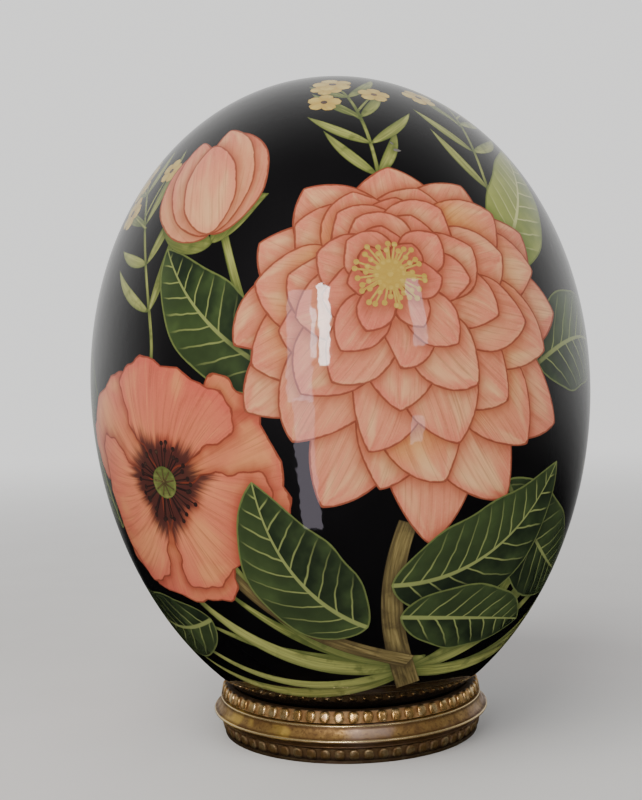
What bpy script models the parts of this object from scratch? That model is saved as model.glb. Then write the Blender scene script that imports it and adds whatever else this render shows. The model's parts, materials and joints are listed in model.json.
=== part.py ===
"""A lacquered ostrich egg standing blunt end up in a beaded brass ring.

The egg is one closed form. The ring that it rests in is three pieces on one axis: a flanged
collar, and a strip of pearl beading along its top and another along its bottom.
Lengths are in metres and +Z is up. The table is z = 0, and the middle of the whole object's
box stands over the origin.
"""

import math

import bpy

# The egg, measured along and across its own long axis
EGG_HALF_WIDTH = 0.0610
EGG_HALF_HEIGHT = 0.07937
EGG_FULLNESS = 0.0494  # how much rounder the top is than the bottom: 0 would be an ellipse
EGG_CENTRE_HEIGHT = 0.08079  # from the table to the middle of the long axis
EGG_LEAN = math.radians(1.24)  # towards -X

# The ring stand
STAND_HEIGHT = 0.0120
BEADING_HEIGHT = 0.0027  # of the beads in each strip
BEAD_COUNT = 60
BEAD_SHARE = 0.68  # the part of a bead's pitch that the bead itself fills
BEAD_SWELL = 0.0007  # how far a bead stands out of its strip
BEAD_CROWN = 0.40  # the part of a bead's width that stands out in full
BEAD_SHOULDER = 0.26  # where up its strip a bead begins to stand out in full
BEAD_END_SWELL = 0.35  # the part of its swell that a bead keeps at the strip's rims
STRIP_RADIUS = 0.0316  # the strip's outer wall, between the beads and next to the collar
STRIP_TAPER = 0.0007  # how much that wall draws in towards the strip's far rim
FOOT_HEIGHT = 0.0007  # the plain foot under the lower beads
FOOT_RADIUS = 0.0314
COLLAR_EDGE_RADIUS = 0.0323  # the small round moulding next to each strip
COLLAR_NECK_RADIUS = 0.0321  # the groove behind that moulding
COLLAR_WAIST_RADIUS = 0.0332  # where a hollow band meets the flange
FLANGE_RADIUS = 0.0340
FLANGE_HEIGHT = 0.0057  # from the table to the middle of its thickness
FLANGE_THICKNESS = 0.0007
FLANGE_ROUNDING = 0.0002  # at the corners of its edge
EDGE_HEIGHT = 0.0005  # of the small round moulding
EDGE_ROUNDING = 0.0003  # at the moulding's end
BAND_HOLLOW = 0.00015  # how deep the band is hollowed

# Room left between pieces that touch on the real thing
TOUCHING_GAP = 0.0003

# How finely the curved surfaces are divided
EGG_COLUMNS = 48
EGG_ROWS = 24
COLLAR_COLUMNS = BEAD_COUNT

COLLECTION_NAME = "ostrich_egg_on_stand"


def egg_radius(angle):
    """Distance of the shell from the egg's axis, at an angle measured from its top."""
    return EGG_HALF_WIDTH * math.sin(angle) * (1.0 + EGG_FULLNESS * math.cos(angle))


def egg_height(angle):
    """Height of the same point above the table, when the egg's axis is upright."""
    return EGG_CENTRE_HEIGHT + EGG_HALF_HEIGHT * math.cos(angle)


def egg_flare(angle):
    """How fast the shell's radius grows with height at that point."""
    radius_rate = EGG_HALF_WIDTH * (math.cos(angle) + EGG_FULLNESS * math.cos(2.0 * angle))
    height_rate = -EGG_HALF_HEIGHT * math.sin(angle)
    return radius_rate / height_rate


# The seat is the circle where the shell rests on the ring's upper rim. Lines square to the
# shell there meet the axis at one point, and the egg can lean about that point and stay seated.
SEAT_ANGLE = math.acos((STAND_HEIGHT - EGG_CENTRE_HEIGHT) / EGG_HALF_HEIGHT)
SEAT_FLARE = egg_flare(SEAT_ANGLE)
LEAN_CENTRE_HEIGHT = STAND_HEIGHT + egg_radius(SEAT_ANGLE) * SEAT_FLARE

# The rim's inner edge keeps the gap, measured square to the shell.
RING_INNER_RADIUS = egg_radius(SEAT_ANGLE) + TOUCHING_GAP * math.hypot(1.0, SEAT_FLARE)

# The leaning egg reaches further to -X than the stand is wide, so the stand's axis is set a
# little to +X, which centres the egg's widest circle over the origin.
EGG_WIDEST_HEIGHT = EGG_CENTRE_HEIGHT + EGG_HALF_HEIGHT * EGG_FULLNESS
STAND_X = (EGG_WIDEST_HEIGHT - LEAN_CENTRE_HEIGHT) * math.sin(EGG_LEAN)

# Heights in the stand
COLLAR_BOTTOM = FOOT_HEIGHT + BEADING_HEIGHT + TOUCHING_GAP
UPPER_BEADING_BOTTOM = STAND_HEIGHT - BEADING_HEIGHT
COLLAR_TOP = UPPER_BEADING_BOTTOM - TOUCHING_GAP


def clear_scene():
    """Remove whatever the file holds, and leave the file open."""
    for old_object in list(bpy.data.objects):
        bpy.data.objects.remove(old_object, do_unlink=True)


def make_collection():
    """The collection that holds every piece of the object."""
    collection = bpy.data.collections.new(COLLECTION_NAME)
    bpy.context.scene.collection.children.link(collection)
    return collection


def make_material(name, colour, metallic, roughness, coat):
    """A Principled material with one colour all over."""
    material = bpy.data.materials.new(name)
    material.use_nodes = True
    material.diffuse_color = (*colour, 1.0)
    shader = material.node_tree.nodes["Principled BSDF"]
    shader.inputs["Base Color"].default_value = (*colour, 1.0)
    shader.inputs["Metallic"].default_value = metallic
    shader.inputs["Roughness"].default_value = roughness
    shader.inputs["Coat Weight"].default_value = coat
    return material


def black_lacquer():
    """The shell's ground colour under clear varnish."""
    return make_material("black_lacquer", (0.012, 0.011, 0.014), 0.0, 0.25, 1.0)


def gilt_brass():
    """The pale gilding of the beads."""
    return make_material("gilt_brass", (0.60, 0.47, 0.25), 1.0, 0.30, 0.0)


def worn_brass():
    """The duller, browner gilding of the collar."""
    return make_material("worn_brass", (0.50, 0.38, 0.21), 1.0, 0.38, 0.0)


def add_object(name, mesh, material, collection):
    """An object that shows a mesh in a material. Its name becomes the piece's name."""
    piece = bpy.data.objects.new(name, mesh)
    if not mesh.materials:
        mesh.materials.append(material)
    collection.objects.link(piece)
    return piece


def turn_profile(name, profile, closed, columns, material, collection):
    """A piece turned from (radius, height) points that run down its outer side."""
    points = [(radius, 0.0, height) for radius, height in profile]
    edges = [(index, index + 1) for index in range(len(points) - 1)]
    if closed:
        edges.append((len(points) - 1, 0))
    mesh = bpy.data.meshes.new(name)
    mesh.from_pydata(points, edges, [])
    piece = add_object(name, mesh, material, collection)
    turn = piece.modifiers.new("turn", "SCREW")
    turn.axis = "Z"
    turn.angle = 2.0 * math.pi
    turn.steps = columns
    turn.render_steps = columns
    turn.use_merge_vertices = True
    turn.merge_threshold = 0.00001
    turn.use_smooth_shade = True
    return piece


def make_egg(collection):
    """The egg, with its own origin at the point that it leans about."""
    profile = []
    for row in range(EGG_ROWS + 1):
        angle = math.pi * row / EGG_ROWS
        profile.append((egg_radius(angle), egg_height(angle) - LEAN_CENTRE_HEIGHT))
    egg = turn_profile("ostrich_egg", profile, False, EGG_COLUMNS, black_lacquer(), collection)
    egg.location = (STAND_X, 0.0, LEAN_CENTRE_HEIGHT)
    egg.rotation_euler = (0.0, -EGG_LEAN, 0.0)
    return egg


def collar_outline(rim, away):
    """The collar's outline from one rim to the flange, as (radius, height).

    away is 1 for the part above the flange and -1 for the part under it.
    """
    flange_face = FLANGE_HEIGHT + away * FLANGE_THICKNESS / 2.0
    neck_height = rim - away * EDGE_HEIGHT
    band_radius = (COLLAR_NECK_RADIUS + COLLAR_WAIST_RADIUS) / 2.0 - BAND_HOLLOW
    band_height = (neck_height + flange_face) / 2.0
    return [
        (COLLAR_EDGE_RADIUS - EDGE_ROUNDING, rim),
        (COLLAR_EDGE_RADIUS, rim - away * EDGE_HEIGHT / 2.0),
        (COLLAR_NECK_RADIUS, neck_height),
        (band_radius, band_height),
        (COLLAR_WAIST_RADIUS, flange_face),
        (FLANGE_RADIUS, flange_face - away * FLANGE_ROUNDING),
    ]


def make_collar(collection, parent):
    """The flanged collar: its outline above the flange and under it, and the bore."""
    upper = collar_outline(COLLAR_TOP, 1.0)
    lower = collar_outline(COLLAR_BOTTOM, -1.0)
    inner = [(RING_INNER_RADIUS, COLLAR_BOTTOM), (RING_INNER_RADIUS, COLLAR_TOP)]
    profile = upper + lower[::-1] + inner
    collar = turn_profile("stand_collar", profile, True, COLLAR_COLUMNS, worn_brass(), collection)
    collar.parent = parent
    return collar


def strip_outline(swell):
    """A strip's outer side, as (radius, distance from the collar). swell is 0 between beads."""
    outline = []
    for share, fullness in (
        (0.0, BEAD_END_SWELL),
        (BEAD_SHOULDER, 1.0),
        (1.0 - BEAD_SHOULDER, 1.0),
        (1.0, BEAD_END_SWELL),
    ):
        radius = STRIP_RADIUS - share * STRIP_TAPER + fullness * swell
        outline.append((radius, share * BEADING_HEIGHT))
    return outline


def upper_section(swell):
    """One section through the upper strip, as (radius, height), outer side first."""
    inner = [(RING_INNER_RADIUS, 0.0), (RING_INNER_RADIUS, BEADING_HEIGHT)]
    return strip_outline(swell)[::-1] + inner


def lower_section(swell):
    """The same for the lower strip, which is turned over and stands on a plain foot."""
    top = FOOT_HEIGHT + BEADING_HEIGHT
    beads = [(radius, top - distance) for radius, distance in strip_outline(swell)]
    foot = [(FOOT_RADIUS, FOOT_HEIGHT), (FOOT_RADIUS, 0.0)]
    inner = [(RING_INNER_RADIUS, 0.0), (RING_INNER_RADIUS, top)]
    return beads + foot + inner


def make_strip_mesh(strip_section):
    """A beaded strip: a loft round the ring, through four sections for each bead."""
    pitch = 2.0 * math.pi / BEAD_COUNT
    foot = pitch * BEAD_SHARE / 2.0
    crown = foot * BEAD_CROWN
    sections = [(-foot, 0.0), (-crown, BEAD_SWELL), (crown, BEAD_SWELL), (foot, 0.0)]
    points = []
    for bead in range(BEAD_COUNT):
        for offset, swell in sections:
            turn = bead * pitch + offset
            for radius, height in strip_section(swell):
                points.append((radius * math.cos(turn), radius * math.sin(turn), height))
    corners = len(strip_section(0.0))
    columns = BEAD_COUNT * len(sections)
    faces = []
    for column in range(columns):
        here = column * corners
        there = (column + 1) % columns * corners
        for corner in range(corners):
            after = (corner + 1) % corners
            faces.append((here + corner, here + after, there + after, there + corner))
    mesh = bpy.data.meshes.new("beaded_strip")
    mesh.from_pydata(points, [], faces)
    mesh.shade_smooth()
    mesh.set_sharp_from_angle(angle=math.radians(50.0))
    return mesh


def make_beading(collection, parent):
    """The two beaded strips: one above the collar and one under it."""
    brass = gilt_brass()
    upper = add_object("upper_beading", make_strip_mesh(upper_section), brass, collection)
    upper.location.z = UPPER_BEADING_BOTTOM
    lower = add_object("lower_beading", make_strip_mesh(lower_section), brass, collection)
    for beading in (upper, lower):
        beading.parent = parent


def build_object():
    """Make every piece in its place."""
    clear_scene()
    collection = make_collection()
    make_egg(collection)
    stand = bpy.data.objects.new("stand_axis", None)
    collection.objects.link(stand)
    stand.location.x = STAND_X
    make_collar(collection, stand)
    make_beading(collection, stand)


build_object()
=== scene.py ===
# %% [markdown]
# # A flowered ostrich egg in a beaded ring stand
#
# The real ornament is a blown ostrich egg. Its maker painted it black, pasted paper flowers on it
# and buried them under many coats of varnish, so the flowers feel like part of the shell. It
# rests blunt end up in a low ring of gilt brass.
#
# A plain solid model of it is ready, with the right sizes. This lesson makes the finish: the
# shell with its flowers, the ring with its beads, and a small photo studio to look at them in.

import json
import math

import bmesh
import bpy
import numpy as np
from mathutils import Matrix, Vector, kdtree
from mathutils.geometry import delaunay_2d_cdt

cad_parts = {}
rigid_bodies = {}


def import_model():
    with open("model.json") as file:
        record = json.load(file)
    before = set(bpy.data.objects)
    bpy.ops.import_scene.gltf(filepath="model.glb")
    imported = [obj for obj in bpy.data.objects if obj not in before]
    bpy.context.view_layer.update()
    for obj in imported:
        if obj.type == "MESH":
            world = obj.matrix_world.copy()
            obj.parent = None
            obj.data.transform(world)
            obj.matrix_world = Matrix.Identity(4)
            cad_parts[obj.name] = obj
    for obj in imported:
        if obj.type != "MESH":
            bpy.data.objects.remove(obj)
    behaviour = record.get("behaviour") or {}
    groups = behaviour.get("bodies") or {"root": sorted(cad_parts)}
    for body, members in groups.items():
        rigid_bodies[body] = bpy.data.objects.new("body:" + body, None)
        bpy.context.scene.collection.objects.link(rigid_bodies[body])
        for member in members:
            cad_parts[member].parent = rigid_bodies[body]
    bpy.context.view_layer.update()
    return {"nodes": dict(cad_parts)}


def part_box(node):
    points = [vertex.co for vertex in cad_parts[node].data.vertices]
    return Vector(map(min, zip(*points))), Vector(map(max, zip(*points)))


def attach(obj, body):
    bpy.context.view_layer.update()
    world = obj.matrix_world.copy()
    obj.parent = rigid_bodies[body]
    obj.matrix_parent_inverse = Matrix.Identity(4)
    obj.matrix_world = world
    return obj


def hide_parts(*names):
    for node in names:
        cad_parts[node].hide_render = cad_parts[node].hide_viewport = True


for leftover in list(bpy.data.objects):
    bpy.data.objects.remove(leftover)

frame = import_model()
print("plain pieces:", ", ".join(sorted(frame["nodes"])))

# %% [markdown]
# ## The shell's form
#
# An egg is a body of revolution. Two angles name any point on it: *drop*, measured down from the
# blunt end, and *turn*, measured round from the front. One formula gives the radius at each drop.
# It is an ellipse with a little extra fullness near the top. We read the sizes from the plain
# model, so that the finished shell takes exactly its place.

# %% The egg's rule
FULLNESS = 0.0494
LEAN = math.radians(1.24)
SHELL_FIT = 0.9985  # keeps the smooth shell inside the plain one, which has flat faces
MM = 0.001

egg_low, egg_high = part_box("ostrich_egg")
ring_low, ring_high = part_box("stand_collar")
STAND_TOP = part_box("upper_beading")[1].z
STAND_X = (ring_low.x + ring_high.x) / 2.0
HALF_WIDTH = (egg_high.y - egg_low.y) / 2.0 * SHELL_FIT
HALF_HEIGHT = (egg_high.z - egg_low.z) / 2.0
CENTRE_HEIGHT = (egg_high.z + egg_low.z) / 2.0


def shell_radius(drop):
    """Distance from the egg's axis."""
    return HALF_WIDTH * np.sin(drop) * (1.0 + FULLNESS * np.cos(drop))


def shell_rates(drop):
    """How fast the radius and the height change with the drop."""
    radius_rate = HALF_WIDTH * (np.cos(drop) + FULLNESS * np.cos(2.0 * drop))
    return radius_rate, -HALF_HEIGHT * np.sin(drop)


# The egg sits on the ring's upper rim. It leans about the middle of the ball that would fit there.
SEAT_DROP = math.acos((STAND_TOP - CENTRE_HEIGHT) / HALF_HEIGHT)
SEAT_RADIUS = shell_radius(SEAT_DROP)
SEAT_FLARE = shell_rates(SEAT_DROP)[0] / shell_rates(SEAT_DROP)[1]
LEAN_HEIGHT = STAND_TOP + SEAT_RADIUS * SEAT_FLARE
print(f"egg {2e3 * HALF_WIDTH:.1f} mm wide, {2e3 * HALF_HEIGHT:.1f} mm long")
print(f"it leans {math.degrees(LEAN):.2f} degrees about a point {1e3 * LEAN_HEIGHT:.1f} mm up")

# %% [markdown]
# ## The camera
#
# The picture is taken from just above the egg's middle, at arm's length, with the camera tipped
# a little to one side. A camera looks along its own -Z, so its axes are the columns of its
# matrix.

# %% Camera
CAMERA_DISTANCE = 0.31115
CAMERA_HEIGHT_AIMED = 0.08143
CAMERA_X = -0.0055
CAMERA_LENS = 56.25
CAMERA_ABOVE = math.radians(1.92)
CAMERA_TIP = math.radians(-1.46)


def make_camera():
    """The camera at the photograph's viewing angle."""
    forward = Vector((0.0, math.cos(CAMERA_ABOVE), -math.sin(CAMERA_ABOVE)))
    level = Vector((1.0, 0.0, 0.0))
    upright = level.cross(forward)
    right = math.cos(CAMERA_TIP) * level + math.sin(CAMERA_TIP) * upright
    up = math.cos(CAMERA_TIP) * upright - math.sin(CAMERA_TIP) * level
    data = bpy.data.cameras.new("camera")
    data.lens = CAMERA_LENS
    data.sensor_width = 36.0
    camera = bpy.data.objects.new("camera", data)
    bpy.context.scene.collection.objects.link(camera)
    turned = Matrix((right, up, -forward)).transposed()
    aim = Vector((STAND_X + CAMERA_X, 0.0, CAMERA_HEIGHT_AIMED))
    camera.matrix_world = Matrix.LocRotScale(aim - forward * CAMERA_DISTANCE, turned, None)
    bpy.context.scene.camera = camera
    return camera


camera = make_camera()
print("camera at", [round(1e3 * x) for x in camera.matrix_world.translation], "mm")

# %% [markdown]
# ## Paper on an egg
#
# Each flower is drawn flat, in millimetres, on a sheet of its own, and the sheet is smoothed
# down on the shell round one spot. Near that spot nothing is stretched. Further out it gives a
# little, as damp paper does. `lay` takes points of the drawing to the shell, and `lift` brings
# points of the shell back to the drawing.


# %% Sheets
def direction(drop, turn):
    """The unit vector that stands for a point of the shell."""
    across = np.sin(drop)
    return np.stack([across * np.sin(turn), -across * np.cos(turn), np.cos(drop)], -1)


class Sheet:
    """Drawing paper laid on the shell. Its y runs towards the blunt end."""

    def __init__(self, turn_degrees, drop_degrees, spin_degrees=0.0):
        turn = math.radians(turn_degrees)
        drop = math.radians(drop_degrees)
        self.middle = direction(drop, turn)
        self.east = np.array([math.cos(turn), math.sin(turn), 0.0])
        self.north = np.cross(self.middle, self.east)
        along_meridian = math.hypot(*shell_rates(drop))
        self.stretch = np.array([shell_radius(drop) / math.sin(drop), along_meridian]) / MM
        spin = math.radians(spin_degrees)
        self.spin = np.array([[math.cos(spin), -math.sin(spin)], [math.sin(spin), math.cos(spin)]])

    def lay(self, points):
        """From the drawing, in mm, to directions on the shell."""
        angles = (np.asarray(points) @ self.spin.T) / self.stretch
        reach = np.hypot(angles[:, 0], angles[:, 1])
        east, north = (np.sinc(reach / np.pi)[:, None] * angles).T[..., None]
        return np.cos(reach)[:, None] * self.middle + east * self.east + north * self.north

    def lift(self, directions):
        """From directions on the shell to the drawing, in mm."""
        reach = np.arccos(np.clip(directions @ self.middle, -1.0, 1.0))
        flat = np.stack([directions @ self.east, directions @ self.north], -1)
        flat /= np.sinc(reach / np.pi)[:, None] + 1e-9
        return (flat * self.stretch) @ self.spin


test_sheet = Sheet(30.0, 80.0)
there_and_back = test_sheet.lift(test_sheet.lay([(12.0, -7.0)]))
print("a point laid and lifted again:", there_and_back.round(3).tolist())

# %% [markdown]
# ## Cut-outs
#
# Petals, leaves, stems and even pollen grains are all one kind of thing: a curved spine with a
# width that swells and tapers. `Cutout` keeps the spine and the outline. It can also tell where
# a point lies in it, *along* the spine, *across* it and how far *inside* the cut edge. The paints
# use these three numbers later for shading, veins and outlines.


# %% Cut-outs
STEP = 0.6  # mm between points along an outline
SPINE_POINTS = 61
CROWDING = 0.65  # 0 spaces points evenly, and 1 crowds them most at the ends
RUFFLES = ((0.55, 1.0), (1.30, 0.5))  # waves of an edge: radians per mm, and share of its depth
RUFFLE_START = 3.0  # mm from the foot, where an edge begins to wave
RUFFLE_FULL = 9.0  # mm from the foot, where it waves in full


def crowded(count):
    """Shares from 0 to 1 that crowd towards both ends, where outlines turn sharply."""
    even = np.linspace(0.0, 1.0, count)
    return (1.0 - CROWDING) * even + CROWDING * (1.0 - np.cos(np.pi * even)) / 2.0


class Cutout:
    """One piece of cut paper, with the numbers that its paint needs."""

    def __init__(self, sheet, paint, spine, half_widths, warmth=0.0, ruffle=0.0, phase=0.0):
        self.sheet = sheet
        self.paint = paint
        self.spine = np.asarray(spine, float)
        self.half_widths = np.asarray(half_widths, float)
        self.warmth = warmth
        runs = np.hypot(*np.diff(self.spine, axis=0).T)
        self.reached = np.concatenate([[0.0], np.cumsum(runs)])
        self.length = self.reached[-1]
        self.outline = self.cut()
        if ruffle:
            self.outline = self.outline + ruffle * self.ruffled(phase)
        self.directions = sheet.lay(self.outline)
        self.middle = self.directions.mean(0)
        self.middle /= np.linalg.norm(self.middle)
        self.cosine = (self.directions @ self.middle).min()

    def cut(self):
        """The outline: down one side of the spine and back up the other."""
        places = self.length * crowded(max(6, int(self.length / STEP)))
        middle = np.stack([np.interp(places, self.reached, self.spine[:, i]) for i in (0, 1)], -1)
        widths = np.interp(places, self.reached, self.half_widths)
        ahead = np.gradient(middle, axis=0)
        ahead /= np.hypot(*ahead.T)[:, None]
        side = np.stack([-ahead[:, 1], ahead[:, 0]], -1) * widths[:, None]
        left = middle + side
        right = (middle - side)[::-1]
        first = 0 if widths[-1] > 0.05 else 1
        last = len(right) if widths[0] > 0.05 else len(right) - 1
        return np.concatenate([left, right[first:last]])

    def ruffled(self, phase):
        """How a ruffle of depth 1 moves each point of the outline out or in."""
        ahead = np.roll(self.outline, -1, axis=0) - np.roll(self.outline, 1, axis=0)
        outward = np.stack([-ahead[:, 1], ahead[:, 0]], -1) / np.hypot(*ahead.T)[:, None]
        run = np.append(0.0, np.cumsum(np.hypot(*np.diff(self.outline, axis=0).T)))
        waves = sum(share * np.sin(pace * run + phase) for pace, share in RUFFLES)
        from_foot = np.hypot(*(self.outline - self.spine[0]).T)
        grown = np.clip((from_foot - RUFFLE_START) / (RUFFLE_FULL - RUFFLE_START), 0.0, 1.0)
        return outward * (waves * grown)[:, None]

    def rib(self):
        """Points along the spine, clear of both its ends."""
        count = max(1, int(self.length / (2.5 * STEP)))
        places = np.linspace(0.0, self.length, count + 2)[1:-1]
        return np.stack([np.interp(places, self.reached, self.spine[:, i]) for i in (0, 1)], -1)

    def inset(self, points):
        """Distance from the cut edge, in mm."""
        starts = self.outline
        runs = np.roll(starts, -1, axis=0) - starts
        to_points = points[:, None, :] - starts[None]
        share = (to_points * runs).sum(-1) / (runs ** 2).sum(-1)
        near = to_points - np.clip(share, 0.0, 1.0)[..., None] * runs
        return np.sqrt((near ** 2).sum(-1).min(1))

    def place(self, points):
        """How far along the spine (0 to 1), and how far across it (-1 to 1) and in mm."""
        starts = self.spine[:-1]
        runs = np.diff(self.spine, axis=0)
        to_points = points[:, None, :] - starts[None]
        share = np.clip((to_points * runs).sum(-1) / (runs ** 2).sum(-1), 0.0, 1.0)
        near = to_points - share[..., None] * runs
        best = (near ** 2).sum(-1).argmin(1)
        rows = np.arange(len(points))
        run = runs[best]
        off = to_points[rows, best]
        sideways = (run[:, 0] * off[:, 1] - run[:, 1] * off[:, 0]) / np.hypot(*run.T)
        reached = self.reached[best] + share[rows, best] * np.hypot(*run.T)
        width = np.interp(reached, self.reached, self.half_widths)
        return reached / self.length, np.clip(sideways / np.maximum(width, 0.4), -1.0, 1.0), sideways


def contains(outline, points):
    """Which points lie inside a closed outline, by counting the edges to their right."""
    x, y = points[:, 0, None], points[:, 1, None]
    x1, y1 = outline.T
    x2, y2 = np.roll(outline, -1, axis=0).T
    crosses = (y1 > y) != (y2 > y)
    rise = np.where(y2 == y1, 1.0, y2 - y1)
    return (crosses & (x < x1 + (y - y1) * (x2 - x1) / rise)).sum(1) % 2 == 1


# %% [markdown]
# ## The drawing tools
#
# `frond` draws anything that swells and tapers. Its width grows as one power of the distance
# from the foot and shrinks as another power of the distance from the tip: a big foot power makes
# a narrow waist, and a tip power near 1 makes a clean point. `trail` draws stems. Everything
# drawn goes on the list `cutouts`, and what comes later lies on top.

# %% Drawing tools
RIPPLES = 17.0  # how fast a rippled edge waves, in radians along its whole length
GRAIN_POINTS = 17
chance = np.random.default_rng(7)
cutouts = []


def bowed(root, tip, bow):
    """A spine from root to tip that bows out to the left by so many mm."""
    root = np.asarray(root, float)
    tip = np.asarray(tip, float)
    ahead = tip - root
    side = np.array([-ahead[1], ahead[0]]) / np.hypot(*ahead)
    middle = (root + tip) / 2.0 + 2.0 * bow * side
    t = crowded(SPINE_POINTS)[:, None]
    return (1 - t) ** 2 * root + 2 * t * (1 - t) * middle + t ** 2 * tip


def at(spine, share):
    """The point a share of the way along a spine."""
    run = np.append(0.0, np.cumsum(np.hypot(*np.diff(spine, axis=0).T)))
    return np.array([np.interp(share * run[-1], run, spine[:, i]) for i in (0, 1)])


def swell(t, foot, tip):
    """A width from 0 to 1 and back to 0."""
    widest = foot / (foot + tip)
    return (t / widest) ** foot * ((1.0 - t) / (1.0 - widest)) ** tip


def frond(sheet, paint, root, tip, half_width, bow=0.0, foot=0.9, point=0.9, heel=0.0, warmth=0.0,
          ripple=0.0, ruffle=0.0):
    """A petal, leaf or blade. heel cuts off the first part of its swell, for a broad foot."""
    spine = bowed(root, tip, bow)
    t = heel + (1.0 - heel) * crowded(SPINE_POINTS)
    phase = chance.uniform(0.0, 6.0)
    widths = half_width * swell(t, foot, point) * (1.0 + ripple * np.sin(RIPPLES * t + phase))
    cutouts.append(Cutout(sheet, paint, spine, widths, warmth, ruffle, phase))


def trail(sheet, paint, points, start_width, end_width, warmth=0.0):
    """A stem through a few points."""
    points = np.asarray(points, float)
    knots = np.linspace(0.0, 1.0, len(points))
    t = np.linspace(0.0, 1.0, SPINE_POINTS)
    power = min(3, len(points) - 1)
    spine = np.stack([np.polyval(np.polyfit(knots, points[:, i], power), t) for i in (0, 1)], -1)
    widths = start_width + (end_width - start_width) * t
    cutouts.append(Cutout(sheet, paint, spine, widths / 2.0, warmth))


def grain(sheet, paint, centre, radius, warmth=0.0):
    """A round dot."""
    angle = np.linspace(0.0, np.pi, GRAIN_POINTS)
    spine = np.stack([centre[0] - radius * np.cos(angle), np.full(GRAIN_POINTS, centre[1])], -1)
    cutouts.append(Cutout(sheet, paint, spine, radius * np.sin(angle), warmth))


def polar(centre, angle_degrees, reach):
    """The point at an angle, clockwise from up, and a distance from a centre."""
    angle = math.radians(angle_degrees)
    return np.array([centre[0] + reach * math.sin(angle), centre[1] + reach * math.cos(angle)])


# %% [markdown]
# ## The flowers
#
# The open bloom is a dahlia seen a little from the side: rows of pointed petals round a heart
# of stamens. Petals that point away from us look shorter, and the inner rows stand higher, so
# their middle shifts. The poppy has six broad petals with ruffled edges, and a ring of dark
# stamens round its seed pod. The tulip is a closed flower seen from the side.


# %% Open bloom
def open_bloom(sheet, rows, facing, paint, shortening=0.30, lift=9.0):
    """Rows of (count, reach, half width, warmth), outermost first."""
    widest = rows[0][1]
    heart = polar((0.0, 0.0), facing, lift * 0.86)
    grain(sheet, paint, heart, 0.3 * widest, 0.6)
    for index, (count, reach, half_width, warmth) in enumerate(rows):
        middle = polar((0.0, 0.0), facing, lift * (1.0 - reach / widest))
        order = [*range(0, count, 2), *range(1, count, 2)]
        for place in order:
            angle = 360.0 * (place + 0.5 * (index % 2)) / count + chance.normal(0.0, 2.4)
            away = math.cos(math.radians(angle - facing))
            length = reach * (1.0 - shortening * (0.5 + 0.5 * away)) * chance.uniform(0.93, 1.06)
            root = polar(middle, angle, 0.2 * reach)
            tip = polar(middle, angle, length)
            frond(sheet, paint, root, tip, half_width * chance.uniform(0.92, 1.08),
                  bow=chance.normal(0.0, 0.05) * length, foot=1.0, point=0.82, heel=0.16,
                  warmth=warmth + chance.uniform(-0.16, 0.16), ripple=0.012)
    stamens(sheet, heart, 0.075 * widest)


def stamens(sheet, heart, size):
    """A tuft of threads with a grain of pollen at the end of each."""
    grain(sheet, "pollen", heart, size, 0.0)
    for ring, count in ((2.0, 24), (1.45, 17)):
        for place in range(count):
            angle = 360.0 * place / count + chance.uniform(-6.0, 6.0)
            end = polar(heart, angle, size * ring * chance.uniform(0.88, 1.08))
            trail(sheet, "pollen", [polar(heart, angle, 0.7 * size), end], 0.55, 0.4, 0.9)
            grain(sheet, "pollen", end, 0.62, chance.uniform(0.0, 0.5))
    for ring, count in ((0.78, 12), (0.42, 7), (0.0, 1)):
        for place in range(count):
            angle = 360.0 * place / count + chance.uniform(-9.0, 9.0)
            grain(sheet, "pollen", polar(heart, angle, ring * size), 0.19 * size, chance.uniform(0.1, 0.8))


# %% Poppy and tulip
POPPY_STAMENS = 36
POPPY_RAYS = 9


def poppy(sheet, middle, reach, turned=0.0):
    """Two rings of three broad petals, round a pod."""
    for warmth, share, first in ((0.0, 1.0, 60.0), (0.3, 0.9, 0.0)):
        for angle in (first, first + 120.0, first + 240.0):
            lean = turned + angle + chance.normal(0.0, 5.0)
            length = reach * share * chance.uniform(0.94, 1.05)
            frond(sheet, "coral", polar(middle, lean, 0.03 * reach), polar(middle, lean, length),
                  0.62 * reach * chance.uniform(0.94, 1.06), bow=chance.normal(0.0, 0.04) * reach,
                  foot=1.2, point=0.5, warmth=warmth + chance.uniform(-0.15, 0.15), ruffle=0.6)
    size = 0.31 * reach
    for place in range(POPPY_STAMENS):
        angle = 360.0 * place / POPPY_STAMENS + chance.uniform(-6.0, 6.0)
        end = polar(middle, angle, size * chance.uniform(0.7, 1.05))
        trail(sheet, "thread", [polar(middle, angle, 0.3 * size), end], 0.4, 0.3)
        grain(sheet, "thread", end, 0.55, chance.uniform(0.0, 0.8))
    grain(sheet, "lime", middle, 0.4 * size, 0.5)
    for ray in range(POPPY_RAYS):
        trail(sheet, "stem", [middle, polar(middle, 360.0 * ray / POPPY_RAYS, 0.34 * size)], 0.5, 0.35)


def tulip(sheet, root, lean, height, paint="petal"):
    """Broad petals that rise from one foot, bow outwards and close again."""
    for side, share in ((-1.0, 0.90), (1.0, 0.93), (-0.5, 0.98), (0.55, 1.0), (0.0, 0.86)):
        frond(sheet, paint, root, polar(root, lean + 13.0 * side, height * share), 0.23 * height,
              bow=-0.14 * side * height, foot=0.62, point=0.72, warmth=chance.uniform(-0.2, 0.5),
              ripple=0.02)


# %% [markdown]
# ## Leaves, blades and sprays
#
# Broad leaves get their veins from the paint, so here they need only a form. Grass blades fan
# out from one foot. A spray is a thin stem with narrow leaves in pairs and small yellow flowers
# on stalks of their own.


# %% Leaves, blades and sprays
def broad_leaf(sheet, root, tip, half_width, bow=0.0, paint="leaf", warmth=0.0):
    """A broad veined leaf."""
    frond(sheet, paint, root, tip, half_width, bow=bow, foot=0.62, point=0.85, warmth=warmth, ripple=0.03)


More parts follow.
